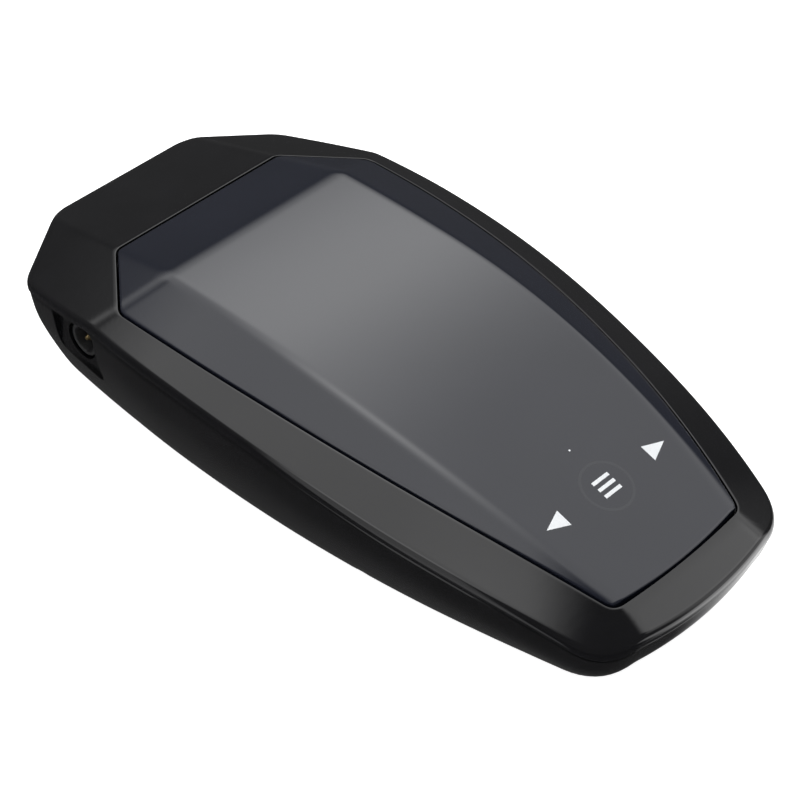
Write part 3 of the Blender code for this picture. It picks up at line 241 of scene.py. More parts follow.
def side_slope(y):
    if y > SLOPE_ROAD_Y:
        return SIDE_SLOPE_ROAD
    if y > SLOPE_MIDDLE_Y:
        share = (SLOPE_ROAD_Y - y) / (SLOPE_ROAD_Y - SLOPE_MIDDLE_Y)
        share = share * share * (3 - 2 * share)
        return SIDE_SLOPE_ROAD + (SIDE_SLOPE_MIDDLE - SIDE_SLOPE_ROAD) * share
    share = (SLOPE_MIDDLE_Y - y) / (SLOPE_MIDDLE_Y - SEAM.end_y)
    return SIDE_SLOPE_MIDDLE + (SIDE_SLOPE_DRIVER - SIDE_SLOPE_MIDDLE) * share * share * (3 - 2 * share)


def top_z(x, y, crease):
    """The faceted top with its creases rounded: main face, side, road, chamfer and driver facets."""
    across = abs(x)
    main = arch_z(y)
    ridge = side_half(RIDGE, min(y, RIDGE.shoulder_y))
    side = main - side_slope(y) * (across - ridge)
    road = arch_z(RIDGE.road_y) - ROAD_SLOPE * (y - RIDGE.road_y)
    chamfer_start = arch_z(RIDGE.road_y) - ROAD_SLOPE * (LENS.road_y - RIDGE.road_y)
    chamfer = (
        chamfer_start
        - CHAMFER_SLOPE_ALONG * (y - LENS.road_y)
        - CHAMFER_SLOPE_ACROSS * (across - LENS.road_half)
    )
    driver = arch_z(LENS.end_y) - DRIVER_SLOPE * (LENS.end_y - y)
    height = soft_min(main, side, crease)
    for facet in (road, chamfer, driver):
        height = soft_min(height, facet, crease)
    return height


def under_top(loop, drop, crease=SHELL_CREASE):
    return [Vector((point.x, point.y, top_z(point.x, point.y, crease) - drop)) for point in loop]


def at_height(loop, z):
    return [Vector((point.x, point.y, z)) for point in loop]


def with_heights(loop, ring, rise=0.0):
    return [Vector((point.x, point.y, other.z + rise)) for point, other in zip(loop, ring)]


def both_sides(places):
    return [(side * x, y) for x, y in places for side in (1, -1)]


# ---------------------------------------------------------------- mesh helpers


def place(verts, points):
    for vert, point in zip(verts, points):
        vert.co = point


def sweep(bm, rings):
    """Skins rings of equal length: the first starts as a circle, each next is extruded from the last."""
    verts = bmesh.ops.create_circle(bm, segments=len(rings[0]), radius=1.0)["verts"]
    place(verts, rings[0])
    first = verts
    for ring in rings[1:]:
        edges = [bm.edges.get((a, b)) for a, b in zip(verts, verts[1:] + verts[:1])]
        made = bmesh.ops.extrude_edge_only(bm, edges=edges)["geom"]
        fresh = {item for item in made if isinstance(item, bmesh.types.BMVert)}
        verts = [next(e.other_vert(v) for e in v.link_edges if e.other_vert(v) in fresh) for v in verts]
        place(verts, ring)
    return first, verts


def close_ring(bm, verts):
    edges = [bm.edges.get((a, b)) for a, b in zip(verts, verts[1:] + verts[:1])]
    bmesh.ops.edgeloop_fill(bm, edges=edges)


def add_box(bm, low, high):
    low, high = Vector(low), Vector(high)
    size = high - low
    middle = Matrix.Translation((low + high) / 2)
    matrix = middle @ Matrix.Diagonal((abs(size.x), abs(size.y), abs(size.z), 1.0))
    return bmesh.ops.create_cube(bm, size=1.0, matrix=matrix)["verts"]


def add_cylinder(bm, start, end, radius, segments=48, end_radius=None):
    start, end = Vector(start), Vector(end)
    turn = Vector((0, 0, 1)).rotation_difference(end - start).to_matrix().to_4x4()
    return bmesh.ops.create_cone(
        bm,
        cap_ends=True,
        segments=segments,
        radius1=radius,
        radius2=radius if end_radius is None else end_radius,
        depth=(end - start).length,
        matrix=Matrix.Translation((start + end) / 2) @ turn,
    )["verts"]


def turned(bm, profile, matrix=None, segments=64):
    """Spins a closed profile of (radius, height) points about Z, then places it."""
    verts = [bm.verts.new((radius, 0, height)) for radius, height in profile]
    edges = [bm.edges.new(pair) for pair in zip(verts, verts[1:] + verts[:1])]
    bmesh.ops.spin(
        bm, geom=verts + edges, cent=(0, 0, 0), axis=(0, 0, 1),
        angle=math.tau, steps=segments, use_merge=True,
    )
    bmesh.ops.remove_doubles(bm, verts=bm.verts, dist=1e-7)
    bmesh.ops.dissolve_degenerate(bm, edges=bm.edges, dist=1e-7)
    if matrix:
        bmesh.ops.transform(bm, matrix=matrix, verts=bm.verts)


def round_edges(bm, edges, size, segments=3):
    bmesh.ops.bevel(
        bm, geom=edges, offset=size, segments=segments, profile=0.5, affect="EDGES", material=-1,
    )


def mesh_object(bm, name, sharp=35):
    """Turns a bmesh into an object, faces outwards, round where its faces meet at a small angle."""
    bmesh.ops.recalc_face_normals(bm, faces=bm.faces)
    mesh = bpy.data.meshes.new(name)
    bm.to_mesh(mesh)
    bm.free()
    mesh.shade_smooth()
    mesh.set_sharp_from_angle(angle=math.radians(sharp))
    obj = bpy.data.objects.new(name, mesh)
    bpy.context.scene.collection.objects.link(obj)
    return obj


def carve(obj, tools):
    """Applies each (operation, tool) to obj with an exact Boolean and removes the tools."""
    for operation, tool in tools:
        modifier = obj.modifiers.new(tool.name, "BOOLEAN")
        modifier.operation = operation
        modifier.solver = "EXACT"
        modifier.object = tool
    bpy.context.view_layer.update()
    graph = bpy.context.evaluated_depsgraph_get()
    carved = bpy.data.meshes.new_from_object(obj.evaluated_get(graph))
    obj.modifiers.clear()
    old = obj.data
    obj.data = carved
    bpy.data.meshes.remove(old)
    for _, tool in tools:
        bpy.data.objects.remove(tool, do_unlink=True)


def fit_piece(obj, mat, body="housing", replaces=()):
    obj.data.materials.clear()
    obj.data.materials.append(mat)
    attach(obj, body)
    if replaces:
        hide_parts(*replaces)
    return obj


# ---------------------------------------------------------------- materials


class Finish:
    """A Principled material and the small set of nodes that the finishes share."""

    def __init__(self, name):
        self.material = bpy.data.materials.new(name)
        self.material.use_nodes = True
        self.tree = self.material.node_tree
        self.shader = self.tree.nodes["Principled BSDF"]
        self.coords = self.tree.nodes.new("ShaderNodeTexCoord").outputs["Object"]

    def node(self, kind, **inputs):
        made = self.tree.nodes.new(kind)
        for key, value in inputs.items():
            self.put(made.inputs[key.replace("_", " ")], value)
        return made

    def put(self, socket, value):
        if isinstance(value, bpy.types.NodeSocket):
            self.tree.links.new(value, socket)
        else:
            socket.default_value = value

    def set(self, **values):
        for key, value in values.items():
            self.put(self.shader.inputs[key.replace("_", " ")], value)
        return self

    def stretched(self, x=1.0, y=1.0, z=1.0, turn=0.0):
        mapping = self.node("ShaderNodeMapping", Vector=self.coords)
        mapping.inputs["Scale"].default_value = (x, y, z)
        mapping.inputs["Rotation"].default_value = (0.0, 0.0, turn)
        return mapping.outputs["Vector"]

    def noise(self, scale, detail=3.0, rough=0.5, coords=None):
        return self.node(
            "ShaderNodeTexNoise", Vector=coords or self.coords, Scale=scale, Detail=detail, Roughness=rough
        ).outputs["Fac"]

    def spread(self, value, low, high, out_low, out_high):
        made = self.node("ShaderNodeMapRange", Value=value)
        for index, number in ((1, low), (2, high), (3, out_low), (4, out_high)):
            made.inputs[index].default_value = number
        return made.outputs["Result"]

    def blend(self, share, first, second):
        made = self.tree.nodes.new("ShaderNodeMix")
        made.data_type = "RGBA"
        self.put(made.inputs[0], share)
        self.put(made.inputs[6], first)
        self.put(made.inputs[7], second)
        return made.outputs[2]

    def sum(self, operation, first, second):
        made = self.tree.nodes.new("ShaderNodeMath")
        made.operation = operation
        self.put(made.inputs[0], first)
        self.put(made.inputs[1], second)
        return made.outputs[0]

    def bump(self, height, strength, distance):
        made = self.node("ShaderNodeBump", Height=height, Strength=strength, Distance=distance)
        self.set(Normal=made.outputs["Normal"])
        return self


def rgba(*values):
    return (*values, 1.0)


def moulded_gloss(name, colour, lighter, roughness=0.045, peel=0.012):
    """Polished mould finish: faint flow marks, dust specks and hairline scratches under a hard gloss."""
    f = Finish(name)
    cloud = f.noise(140.0, 4.0)
    tone = f.blend(f.spread(cloud, 0.35, 0.75, 0.0, 1.0), rgba(*colour), rgba(*lighter))
    dust = f.spread(f.noise(5200.0, 2.0), 0.76, 0.80, 0.0, 0.35)
    tone = f.blend(dust, tone, rgba(0.16, 0.16, 0.17))
    scratch = f.noise(900.0, 2.0, coords=f.stretched(0.04, 1.0, 1.0, 0.5))
    scratch = f.spread(scratch, 0.66, 0.74, 0.0, 0.05)
    smear = f.spread(f.noise(60.0, 5.0), 0.3, 0.8, roughness, roughness * 1.7)
    f.set(Base_Color=tone, Roughness=f.sum("ADD", smear, scratch))
    f.shader.inputs["IOR"].default_value = 1.5
    f.bump(f.noise(700.0, 2.0), peel, 0.0002)
    return f.material


def smoked_lens_finish():
    """Smoked polycarbonate: blue-black, finger haze, dust, and the middle key's spring faintly through it."""
    f = Finish("smoked_lens_gloss")
    cloud = f.noise(70.0, 3.0)
    dark, light = rgba(0.0080, 0.0095, 0.0160), rgba(0.0100, 0.0115, 0.0190)
    tone = f.blend(f.spread(cloud, 0.35, 0.7, 0.0, 1.0), dark, light)
    centre = f.node("ShaderNodeMapping", Vector=f.coords)
    centre.inputs["Location"].default_value = (0.0, -KEY_Y, 0.0)
    centre.inputs["Scale"].default_value = (1.0, 1.0, 0.0)
    reach = f.node("ShaderNodeVectorMath")
    reach.operation = "LENGTH"
    f.put(reach.inputs[0], centre.outputs["Vector"])
    off = f.sum("ABSOLUTE", f.sum("SUBTRACT", reach.outputs["Value"], SPRING_RADIUS), 0.0)
    tone = f.blend(f.spread(off, 0.25 * MM, 0.10 * MM, 0.0, 1.0), tone, rgba(0.018, 0.020, 0.026))
    dust = f.spread(f.noise(6000.0, 2.0), 0.78, 0.82, 0.0, 0.3)
    tone = f.blend(dust, tone, rgba(0.12, 0.12, 0.13))
    smear = f.spread(f.noise(45.0, 5.0), 0.3, 0.8, 0.06, 0.09)
    f.set(Base_Color=tone, Roughness=smear)
    f.shader.inputs["IOR"].default_value = 1.52
    f.bump(f.noise(500.0, 2.0), 0.008, 0.0002)
    return f.material


def grained(name, colour, lighter, roughness, grain_scale, grain, metallic=0.0, lay=None, specks=0.0):
    """A satin or matte surface: cloudy tone, worn light patches, and a fine grain in its gloss and relief."""
    f = Finish(name)
    coords = f.stretched(*lay) if lay else None
    cloud = f.spread(f.noise(220.0, 4.0), 0.3, 0.75, 0.0, 1.0)
    tone = f.blend(cloud, rgba(*colour), rgba(*lighter))
    worn = f.spread(f.noise(900.0, 6.0, 0.65), 0.62, 0.78, 0.0, 0.35 + specks)
    tone = f.blend(worn, tone, rgba(*(min(1.0, value * 1.9 + 0.01) for value in lighter)))
    texture = f.noise(grain_scale, 3.0, 0.6, coords=coords)
    uneven = f.spread(texture, 0.3, 0.7, roughness * 0.8, roughness * 1.2)
    f.set(Base_Color=tone, Metallic=metallic, Roughness=uneven)
    f.bump(texture, grain, 0.0003)
    return f.material


def circuit_board_finish():
    """Green solder mask over copper tracks, with pale printed rows and drilled rings."""
    f = Finish("circuit_board_mask")
    bricks = f.node("ShaderNodeTexBrick", Vector=f.stretched(1.0, 1.0, 1.0), Scale=420.0)
    bricks.inputs["Mortar Size"].default_value = 0.05
    bricks.inputs["Color1"].default_value = rgba(0.010, 0.085, 0.030)
    bricks.inputs["Color2"].default_value = rgba(0.014, 0.110, 0.040)
    bricks.inputs["Mortar"].default_value = rgba(0.040, 0.190, 0.080)
    rings = f.node("ShaderNodeTexVoronoi", Vector=f.coords, Scale=380.0).outputs["Distance"]
    pads = f.spread(rings, 0.10, 0.14, 1.0, 0.0)
    tone = f.blend(pads, bricks.outputs["Color"], rgba(0.55, 0.50, 0.38))
    cloud = f.spread(f.noise(300.0, 4.0), 0.3, 0.8, 0.30, 0.5)
    f.set(Base_Color=tone, Roughness=cloud)
    f.bump(bricks.outputs["Fac"], 0.25, 0.0001)
    return f.material


def striped(name, colour, stripe, scale, roughness, metallic=0.0, bands="X"):
    """Parallel conductors or turned rings under a thin film."""
    f = Finish(name)
    wave = f.node("ShaderNodeTexWave", Vector=f.coords, Scale=scale)
    wave.bands_direction = bands
    tone = f.blend(f.spread(wave.outputs["Fac"], 0.45, 0.6, 0.0, 1.0), rgba(*colour), rgba(*stripe))
    haze = f.spread(f.noise(700.0, 3.0), 0.3, 0.7, roughness * 0.85, roughness * 1.2)
    f.set(Base_Color=tone, Metallic=metallic, Roughness=haze)
    f.bump(wave.outputs["Fac"], 0.2, 0.0001)
    return f.material


shell_gloss = moulded_gloss("case_black_gloss", (0.0035, 0.0035, 0.0042), (0.0050, 0.0050, 0.0060))
# Painted shade: the tray is the same black plastic as the case, given a darker colour to stand in for the
# shade on its underside.
tray_finish_with_painted_shade = moulded_gloss("tray_black_with_painted_shade", (0.0024, 0.0024, 0.0028), (0.0038, 0.0038, 0.0044), 0.05)
lens_gloss = smoked_lens_finish()
white_ink = grained("white_key_ink", (0.72, 0.74, 0.76), (0.80, 0.82, 0.84), 0.30, 3000.0, 0.05)
satin_black = grained("satin_black_plastic", (0.012, 0.012, 0.013), (0.020, 0.020, 0.021), 0.42, 4200.0, 0.35)
knob_black = grained("knob_black_plastic", (0.020, 0.020, 0.022), (0.034, 0.034, 0.036), 0.34, 3600.0, 0.30)
rubber = grained("foot_rubber", (0.020, 0.020, 0.020), (0.034, 0.033, 0.032), 0.82, 2600.0, 0.8)
tape_foam = grained("foam_tape", (0.018, 0.018, 0.018), (0.030, 0.030, 0.030), 0.9, 5200.0, 1.0)
black_steel = grained("blackened_steel", (0.10, 0.10, 0.105), (0.15, 0.15, 0.155), 0.36, 2200.0, 0.25, 1.0)
spring_wire = grained(
    "spring_wire", (0.52, 0.50, 0.47), (0.66, 0.64, 0.60), 0.28, 3800.0, 0.2, 1.0, (1, 1, 8)
)
cast_metal = grained("cast_aluminium", (0.50, 0.50, 0.51), (0.64, 0.64, 0.65), 0.45, 1500.0, 0.5, 1.0)
tinned = grained("tinned_steel", (0.58, 0.58, 0.56), (0.70, 0.70, 0.68), 0.30, 2400.0, 0.2, 1.0, (1, 12, 1))
plated = grained("plated_magnet", (0.48, 0.48, 0.50), (0.60, 0.60, 0.62), 0.34, 2400.0, 0.2, 1.0)
can_metal = grained(
    "capacitor_can", (0.60, 0.60, 0.63), (0.74, 0.74, 0.76), 0.28, 2600.0, 0.2, 1.0, (1, 1, 10)
)
brass = grained("contact_brass", (0.62, 0.43, 0.18), (0.80, 0.62, 0.32), 0.26, 3000.0, 0.15, 1.0)
ceramic = grained("patch_ceramic", (0.60, 0.54, 0.44), (0.72, 0.66, 0.55), 0.5, 2800.0, 0.3)
chip_resin = grained("chip_resin", (0.018, 0.018, 0.020), (0.030, 0.030, 0.032), 0.45, 6000.0, 0.35)
board_mask = circuit_board_finish()
ribbon_film = striped("ribbon_film", (0.42, 0.20, 0.04), (0.66, 0.42, 0.14), 320.0, 0.35)
cone_paper = grained("cone_paper", (0.030, 0.030, 0.030), (0.052, 0.050, 0.048), 0.85, 3400.0, 0.9)
panel_glass = moulded_gloss("display_panel_glass", (0.008, 0.010, 0.013), (0.011, 0.013, 0.017), 0.06)
sensor_red = moulded_gloss("sensor_dark_red", (0.060, 0.006, 0.008), (0.085, 0.009, 0.011), 0.05)
window_smoke = moulded_gloss("laser_window_smoke", (0.010, 0.006, 0.008), (0.014, 0.008, 0.010), 0.05)

# ---------------------------------------------------------------- upper shell


def seam_ring(grow=0.0):
    return with_heights(plan(SEAM, grow), under_top(plan(SEAM), SEAM_DROP))


def quarter(start, finish, steps):
    """Shares (across, down) round a quarter of an ellipse, ends left out."""
    return [
        (start + (finish - start) * math.sin(math.pi / 2 * i / steps), 1 - math.cos(math.pi / 2 * i / steps))
        for i in range(1, steps)
    ]


def make_upper_shell():
    """The top case: seam lip, rounded rim band, faceted top, and the step down to the lens ledge."""
    lip = UPPER_LIP
    seam = seam_ring()
    outer = plan(SEAM)
    rings = [with_heights(plan(SEAM, -WALL), seam), with_heights(plan(SEAM, -lip), seam)]
    for across, down in quarter(0.0, 1.0, 3):
        rings.append(with_heights(plan(SEAM, -lip * (1 - across)), seam, lip * down))
    rings.append(with_heights(outer, seam, lip))
    crown = under_top(outer, EDGE_DROP)
    rings.append([low.lerp(high, 0.5) for low, high in zip(rings[-1], crown)])
    rings.append(crown)
    top_inner = plan(SEAM, -EDGE_INSET)
    for i in range(1, EDGE_STEPS):
        angle = math.pi / 2 * i / EDGE_STEPS
        loop = plan(SEAM, -EDGE_INSET * (1 - math.cos(angle)))
        rings.append(under_top(loop, EDGE_DROP * (1 - math.sin(angle))))
    rings.append(under_top(top_inner, 0.0))
    opening = plan(LENS, LENS_GAP + lip)
    for i in range(1, SKIN_STEPS):
        share = i / SKIN_STEPS
        loop = [a.lerp(b, share) for a, b in zip(top_inner, opening)]
        rings.append(under_top(loop, 0.0))
    rings.append(under_top(opening, 0.0))
    for i in range(1, LIP_STEPS):
        angle = math.pi / 2 * i / LIP_STEPS
        loop = plan(LENS, LENS_GAP + lip * (1 - math.sin(angle)))
        rings.append(under_top(loop, lip * (1 - math.cos(angle))))
    rings.append(under_top(plan(LENS, LENS_GAP), lip))
    rings.append(under_top(plan(LENS, LENS_GAP), LEDGE_DEPTH))
    rings.append(under_top(plan(LENS, -LEDGE_WIDTH), LEDGE_DEPTH))
    rings.append(under_top(plan(LENS, -LEDGE_WIDTH), LEDGE_DEPTH + LEDGE_THICKNESS))
    rings.append(under_top(plan(LENS, WALL), LEDGE_DEPTH + LEDGE_THICKNESS))
    rings.append(under_top(plan(LENS, WALL), WALL))
    rings.append(under_top(plan(SEAM, -WALL), WALL))
    rings.append(rings[0])
    bm = bmesh.new()
    sweep(bm, rings)
    bmesh.ops.remove_doubles(bm, verts=bm.verts, dist=1e-7)
    return mesh_object(bm, "upper_case", sharp=40)


# ---------------------------------------------------------------- lower shell


def side_profile(steps):
    """The tray's side in shares inward and down, rounded through the profile's points."""
    points = [Vector(point) for point in SIDE_PROFILE]
    rows = []
    for i in range(len(points) - 1):
        before = points[max(i - 1, 0)]
        start, finish = points[i], points[i + 1]
        after = points[min(i + 2, len(points) - 1)]
        for j in range(steps):
            t = j / steps
            rows.append(
                0.5
                * (
                    start * 2
                    + (finish - before) * t
                    + (before * 2 - start * 5 + finish * 4 - after) * t * t
                    + (start * 3 - before - finish * 3 + after) * t**3
                )
            )
    rows.append(points[-1])
    return rows


def tray_rings(high, low, steps):
    rings = []
    for share in side_profile(steps):
        ring = []
        for top, bottom in zip(high, low):
            x = top.x + (bottom.x - top.x) * share.x
            y = top.y + (bottom.y - top.y) * share.x
            ring.append(Vector((x, y, top.z + (bottom.z - top.z) * share.y)))
        rings.append(ring)
    return rings


def tray_outside():
    lip = LOWER_LIP
    seam = [point - Vector((0, 0, GAP)) for point in seam_ring(-SEAM_STEP)]
    rings = [at_height(plan(SEAM, -1.5 * WALL), CREST_Z + WALL), with_heights(plan(SEAM, -1.5 * WALL), seam)]
    rings.append(with_heights(plan(SEAM, -SEAM_STEP - lip), seam))
    rings.append(with_heights(plan(SEAM, -SEAM_STEP - lip * 0.3), seam, -lip * 0.3))
    below = [point - Vector((0, 0, lip)) for point in seam]
    rings += tray_rings(below, at_height(plan(FLOOR), FLOOR_Z), 5)
    bm = bmesh.new()
    first, last = sweep(bm, rings)
    close_ring(bm, first)
    close_ring(bm, last)
    bmesh.ops.triangulate(bm, faces=bm.faces)
    return mesh_object(bm, "lower_case")


def tray_hollow():
    inner = with_heights(plan(SEAM, -SEAM_STEP - WALL), seam_ring(-SEAM_STEP))
    rings = [at_height(plan(SEAM, -SEAM_STEP - WALL), CREST_Z + 2 * WALL)]
    rings += tray_rings(inner, at_height(plan(FLOOR, -WALL), INNER_FLOOR_Z), 2)
    bm = bmesh.new()
    first, last = sweep(bm, rings)
    close_ring(bm, first)
    close_ring(bm, last)
    bmesh.ops.triangulate(bm, faces=bm.faces)
    hollow = mesh_object(bm, "tray_hollow")
    kept = bmesh.new()
    for x, y in both_sides(CASE_SCREW_PLACES):
        add_cylinder(kept, (x, y, FLOOR_Z), (x, y, BOSS_SHOULDER_Z), BOSS_RADIUS)
    pads = bmesh.new()
    high = top_z(LENS.shoulder_half + WALL, LENS.shoulder_y, SHELL_CREASE)
    high = high - LEDGE_DEPTH - LEDGE_THICKNESS - 2 * GAP
    low_x = (-SEAM.widest_half, SOCKET_POCKET_DRIVER_Y - WALL, FLOOR_Z)
    add_box(pads, low_x, (-POCKET_INNER_X, SOCKET_POCKET_ROAD_Y + WALL, high))
    reach = SWITCH_HALF_LENGTH + WALL
    add_box(pads, (POCKET_INNER_X, SWITCH_Y - reach, FLOOR_Z), (SEAM.widest_half, SWITCH_Y + reach, high))
    carve(hollow, [("DIFFERENCE", mesh_object(kept, "bosses")), ("DIFFERENCE", mesh_object(pads, "pads"))])
    return hollow


def tray_cutters():
    """Counterbores, foot wells, grille slots, side pockets and the openings in their floors."""
    below = -WALL
    wells = bmesh.new()
    for x, y in both_sides(CASE_SCREW_PLACES):
        add_cylinder(wells, (x, y, below), (x, y, SCREW_SEAT_Z), COUNTERBORE_RADIUS)
    for i in range(1, 5):
        low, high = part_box(f"foot_{i}")
        x, y = (low.x + high.x) / 2, (low.y + high.y) / 2
        add_cylinder(wells, (x, y, below), (x, y, FLOOR_Z + FOOT_WELL_DEPTH), FOOT_RADIUS + GAP, 64)
    slots = bmesh.new()
    for i in range(GRILLE_SLOTS):
        offset = (i - (GRILLE_SLOTS - 1) / 2) * GRILLE_PITCH
        half = math.sqrt(GRILLE_RADIUS**2 - offset**2)
        low_y = SPEAKER_Y + offset - GRILLE_SLOT_WIDTH / 2
        add_box(slots, (-half, low_y, below), (half, low_y + GRILLE_SLOT_WIDTH, INNER_FLOOR_Z + GAP))
    upright = [edge for edge in slots.edges if abs(edge.verts[0].co.z - edge.verts[1].co.z) > WALL]
    round_edges(slots, upright, GRILLE_SLOT_WIDTH * 0.48, 6)
    pockets = bmesh.new()
    outside = SEAM.widest_half + WALL
    add_box(
        pockets,
        (-outside, SOCKET_POCKET_DRIVER_Y, SOCKET_POCKET_LOW),
        (-POCKET_FLOOR_X, SOCKET_POCKET_ROAD_Y, CREST_Z),
    )
    reach = (KNOB_LENGTH + SWITCH_TRAVEL) / 2 + SWITCH_POCKET_MARGIN
    rise = KNOB_HEIGHT / 2 + SWITCH_POCKET_MARGIN
    add_box(
        pockets,
        (POCKET_FLOOR_X, SWITCH_Y - reach, SWITCH_Z - rise),
        (outside, SWITCH_Y + reach, SWITCH_Z + rise),
    )
    corners = [
        edge
        for edge in pockets.edges
        if abs(edge.verts[0].co.x - edge.verts[1].co.x) > POCKET_CORNER
        and edge.verts[0].co.z < CREST_Z - POCKET_CORNER
    ]
    round_edges(pockets, corners, POCKET_CORNER, 8)
    openings = bmesh.new()
    low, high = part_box("laser_window")
    spare = Vector((GAP, 4 * WALL, GAP))
    add_box(openings, low - spare, high + spare)
    nose_start = (-POCKET_INNER_X + WALL, SOCKET_Y, SOCKET_Z)
    nose_end = (-SEAM.widest_half, SOCKET_Y, SOCKET_Z)
    add_cylinder(openings, nose_start, nose_end, SOCKET_NOSE + GAP, 64)
    slot_half = (KNOB_LENGTH + SWITCH_TRAVEL) / 2 + GAP
    slot_high = KNOB_HEIGHT / 2 + GAP
    add_box(
        openings,
        (POCKET_INNER_X - WALL, SWITCH_Y - slot_half, SWITCH_Z - slot_high),
        (SEAM.widest_half, SWITCH_Y + slot_half, SWITCH_Z + slot_high),
    )
    return [
        ("DIFFERENCE", mesh_object(bm, name))
        for bm, name in ((wells, "wells"), (slots, "slots"), (pockets, "pockets"), (openings, "openings"))
    ]


def make_lower_shell():
    tray = tray_outside()
    carve(tray, [("DIFFERENCE", tray_hollow())] + tray_cutters())
    tray.data.shade_smooth()
    tray.data.set_sharp_from_angle(angle=math.radians(32))
    return tray


# ---------------------------------------------------------------- lens and its key marks


def lens_place(across, along):
    """A point of the lens's plan from shares of -1 to 1 across it and 0 to 1 from road end to driver end."""
    half = LENS_SIDE[round(along * LENS_ALONG)]
    top = Vector((LENS_ROAD_HALF * across, LENS.road_y))
    x = LENS_END_HALF * across
    bottom = Vector((x, LENS.end_y + (LENS_END_Y - LENS.end_y) * across * across))
    straight = Vector((half.x * across, half.y))
    ends = top * (1 - along) + bottom * along
    corners = Vector((LENS_ROAD_HALF * across, LENS.road_y)) * (1 - along)
    corners += Vector((LENS_END_HALF * across, LENS_END_Y)) * along
    return straight + ends - corners


def lens_side():
    """Evenly spread points along the lens's +X side, from its road corner to its driver corner."""
    half = half_outline(LENS, 0.0)
    first = ROAD_STEPS + CORNER_STEPS // 2
    last = ROAD_STEPS + CHAMFER_STEPS + SIDE_STEPS + 2 * CORNER_STEPS + CORNER_STEPS // 2
    run = half[first : last + 1]
    reach = [0.0]
    for a, b in zip(run, run[1:]):
        reach.append(reach[-1] + (b - a).length)
    spread = []
    j = 0
    for i in range(LENS_ALONG + 1):
        want = reach[-1] * i / LENS_ALONG
        while j < len(run) - 2 and reach[j + 1] < want:
            j += 1
        share = (want - reach[j]) / (reach[j + 1] - reach[j])
        spread.append(run[j].lerp(run[j + 1], share))
    return spread


LENS_SIDE = lens_side()
LENS_ROAD_HALF = LENS_SIDE[0].x
LENS_END_HALF = LENS_SIDE[-1].x
LENS_END_Y = LENS_SIDE[-1].y


def make_lens():
    """The smoked cover: one fine grid over the faceted top, given its thickness and a rounded edge."""
    bm = bmesh.new()
    bmesh.ops.create_grid(bm, x_segments=LENS_ACROSS, y_segments=LENS_ALONG, size=1.0)
    for vert in bm.verts:
        point = lens_place(vert.co.x, (1 - vert.co.y) / 2)
        vert.co = (point.x, point.y, top_z(point.x, point.y, LENS_CREASE))
    under = list(bm.verts)
    bmesh.ops.extrude_face_region(bm, geom=bm.faces[:], use_keep_orig=True)
    bmesh.ops.translate(bm, vec=(0, 0, -LENS_THICKNESS), verts=under)
    low = set(under)
    rim = [
        edge
        for edge in bm.edges
        if not any(vert in low for vert in edge.verts)
        and any(any(vert in low for vert in face.verts) for face in edge.link_faces)
    ]
    round_edges(bm, rim, LENS_EDGE, 3)
    return mesh_object(bm, "top_lens", sharp=50)


def make_mark(name, corners_mm, cuts=6):
    """A printed mark laid on the lens: a few corners, cut fine enough to follow the arch."""
    bm = bmesh.new()
    for corners in corners_mm:
        bm.faces.new([bm.verts.new((x * MM, y * MM, 0)) for x, y in corners])
    bmesh.ops.triangulate(bm, faces=bm.faces)
    bmesh.ops.subdivide_edges(bm, edges=bm.edges, cuts=cuts, use_grid_fill=True)
    for vert in bm.verts:
        vert.co.z = top_z(vert.co.x, vert.co.y, LENS_CREASE) + INK_LIFT
    under = list(bm.verts)
    bmesh.ops.extrude_face_region(bm, geom=bm.faces[:], use_keep_orig=True)
    bmesh.ops.translate(bm, vec=(0, 0, -2 * INK_LIFT), verts=under)
    return mesh_object(bm, name)


def make_marks():
    left = [((-11.25, -39.0), (-8.05, -40.3), (-8.05, -37.8))]
    right = [((11.25, -39.0), (8.05, -37.8), (8.05, -40.3))]
    bars = []
    for y in (-37.95, -39.05, -40.15):
        bars.append(((-1.5, y - 0.25), (1.5, y - 0.25), (1.5, y + 0.25), (-1.5, y + 0.25)))
    speck = [((-0.12, -32.72), (0.12, -32.72), (0.12, -32.48), (-0.12, -32.48))]
    return [
        make_mark("back_key_mark", left),
        make_mark("menu_key_mark", bars),
        make_mark("next_key_mark", right),
        make_mark("light_sensor_speck", speck, 1),
    ]


# ---------------------------------------------------------------- power inlet


def make_inlet():
    """The barrel inlet: a stepped nose with a rounded mouth and a bore, facing out of the pocket."""
    low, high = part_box("power_socket")
    length = high.x - low.x
    edge = SOCKET_EDGE
    profile = [
        (0.0, 0.0),
        (SOCKET_NOSE, 0.0),
        (SOCKET_NOSE, length - edge),
        (SOCKET_NOSE - edge * 0.3, length - edge * 0.3),
        (SOCKET_NOSE - edge, length),
        (SOCKET_BORE + 2 * edge, length),
        (SOCKET_BORE + edge * 0.6, length - edge * 0.4),
        (SOCKET_BORE, length - 2 * edge),
        (SOCKET_BORE, length - SOCKET_BORE_DEPTH),
        (0.0, length - SOCKET_BORE_DEPTH),
    ]
    matrix = Matrix.Translation((high.x, SOCKET_Y, SOCKET_Z)) @ Matrix.Rotation(-math.pi / 2, 4, "Y")
    bm = bmesh.new()
    turned(bm, profile, matrix, 72)
    return mesh_object(bm, "power_inlet")


# ---------------------------------------------------------------- assembly

upper = fit_piece(make_upper_shell(), shell_gloss, replaces=("upper_shell",))
lower = fit_piece(make_lower_shell(), tray_finish_with_painted_shade, replaces=("lower_shell",))
lens = fit_piece(make_lens(), lens_gloss, replaces=("display_lens",))
for mark in make_marks():
    fit_piece(mark, white_ink)
inlet = fit_piece(make_inlet(), satin_black, replaces=("power_socket",))

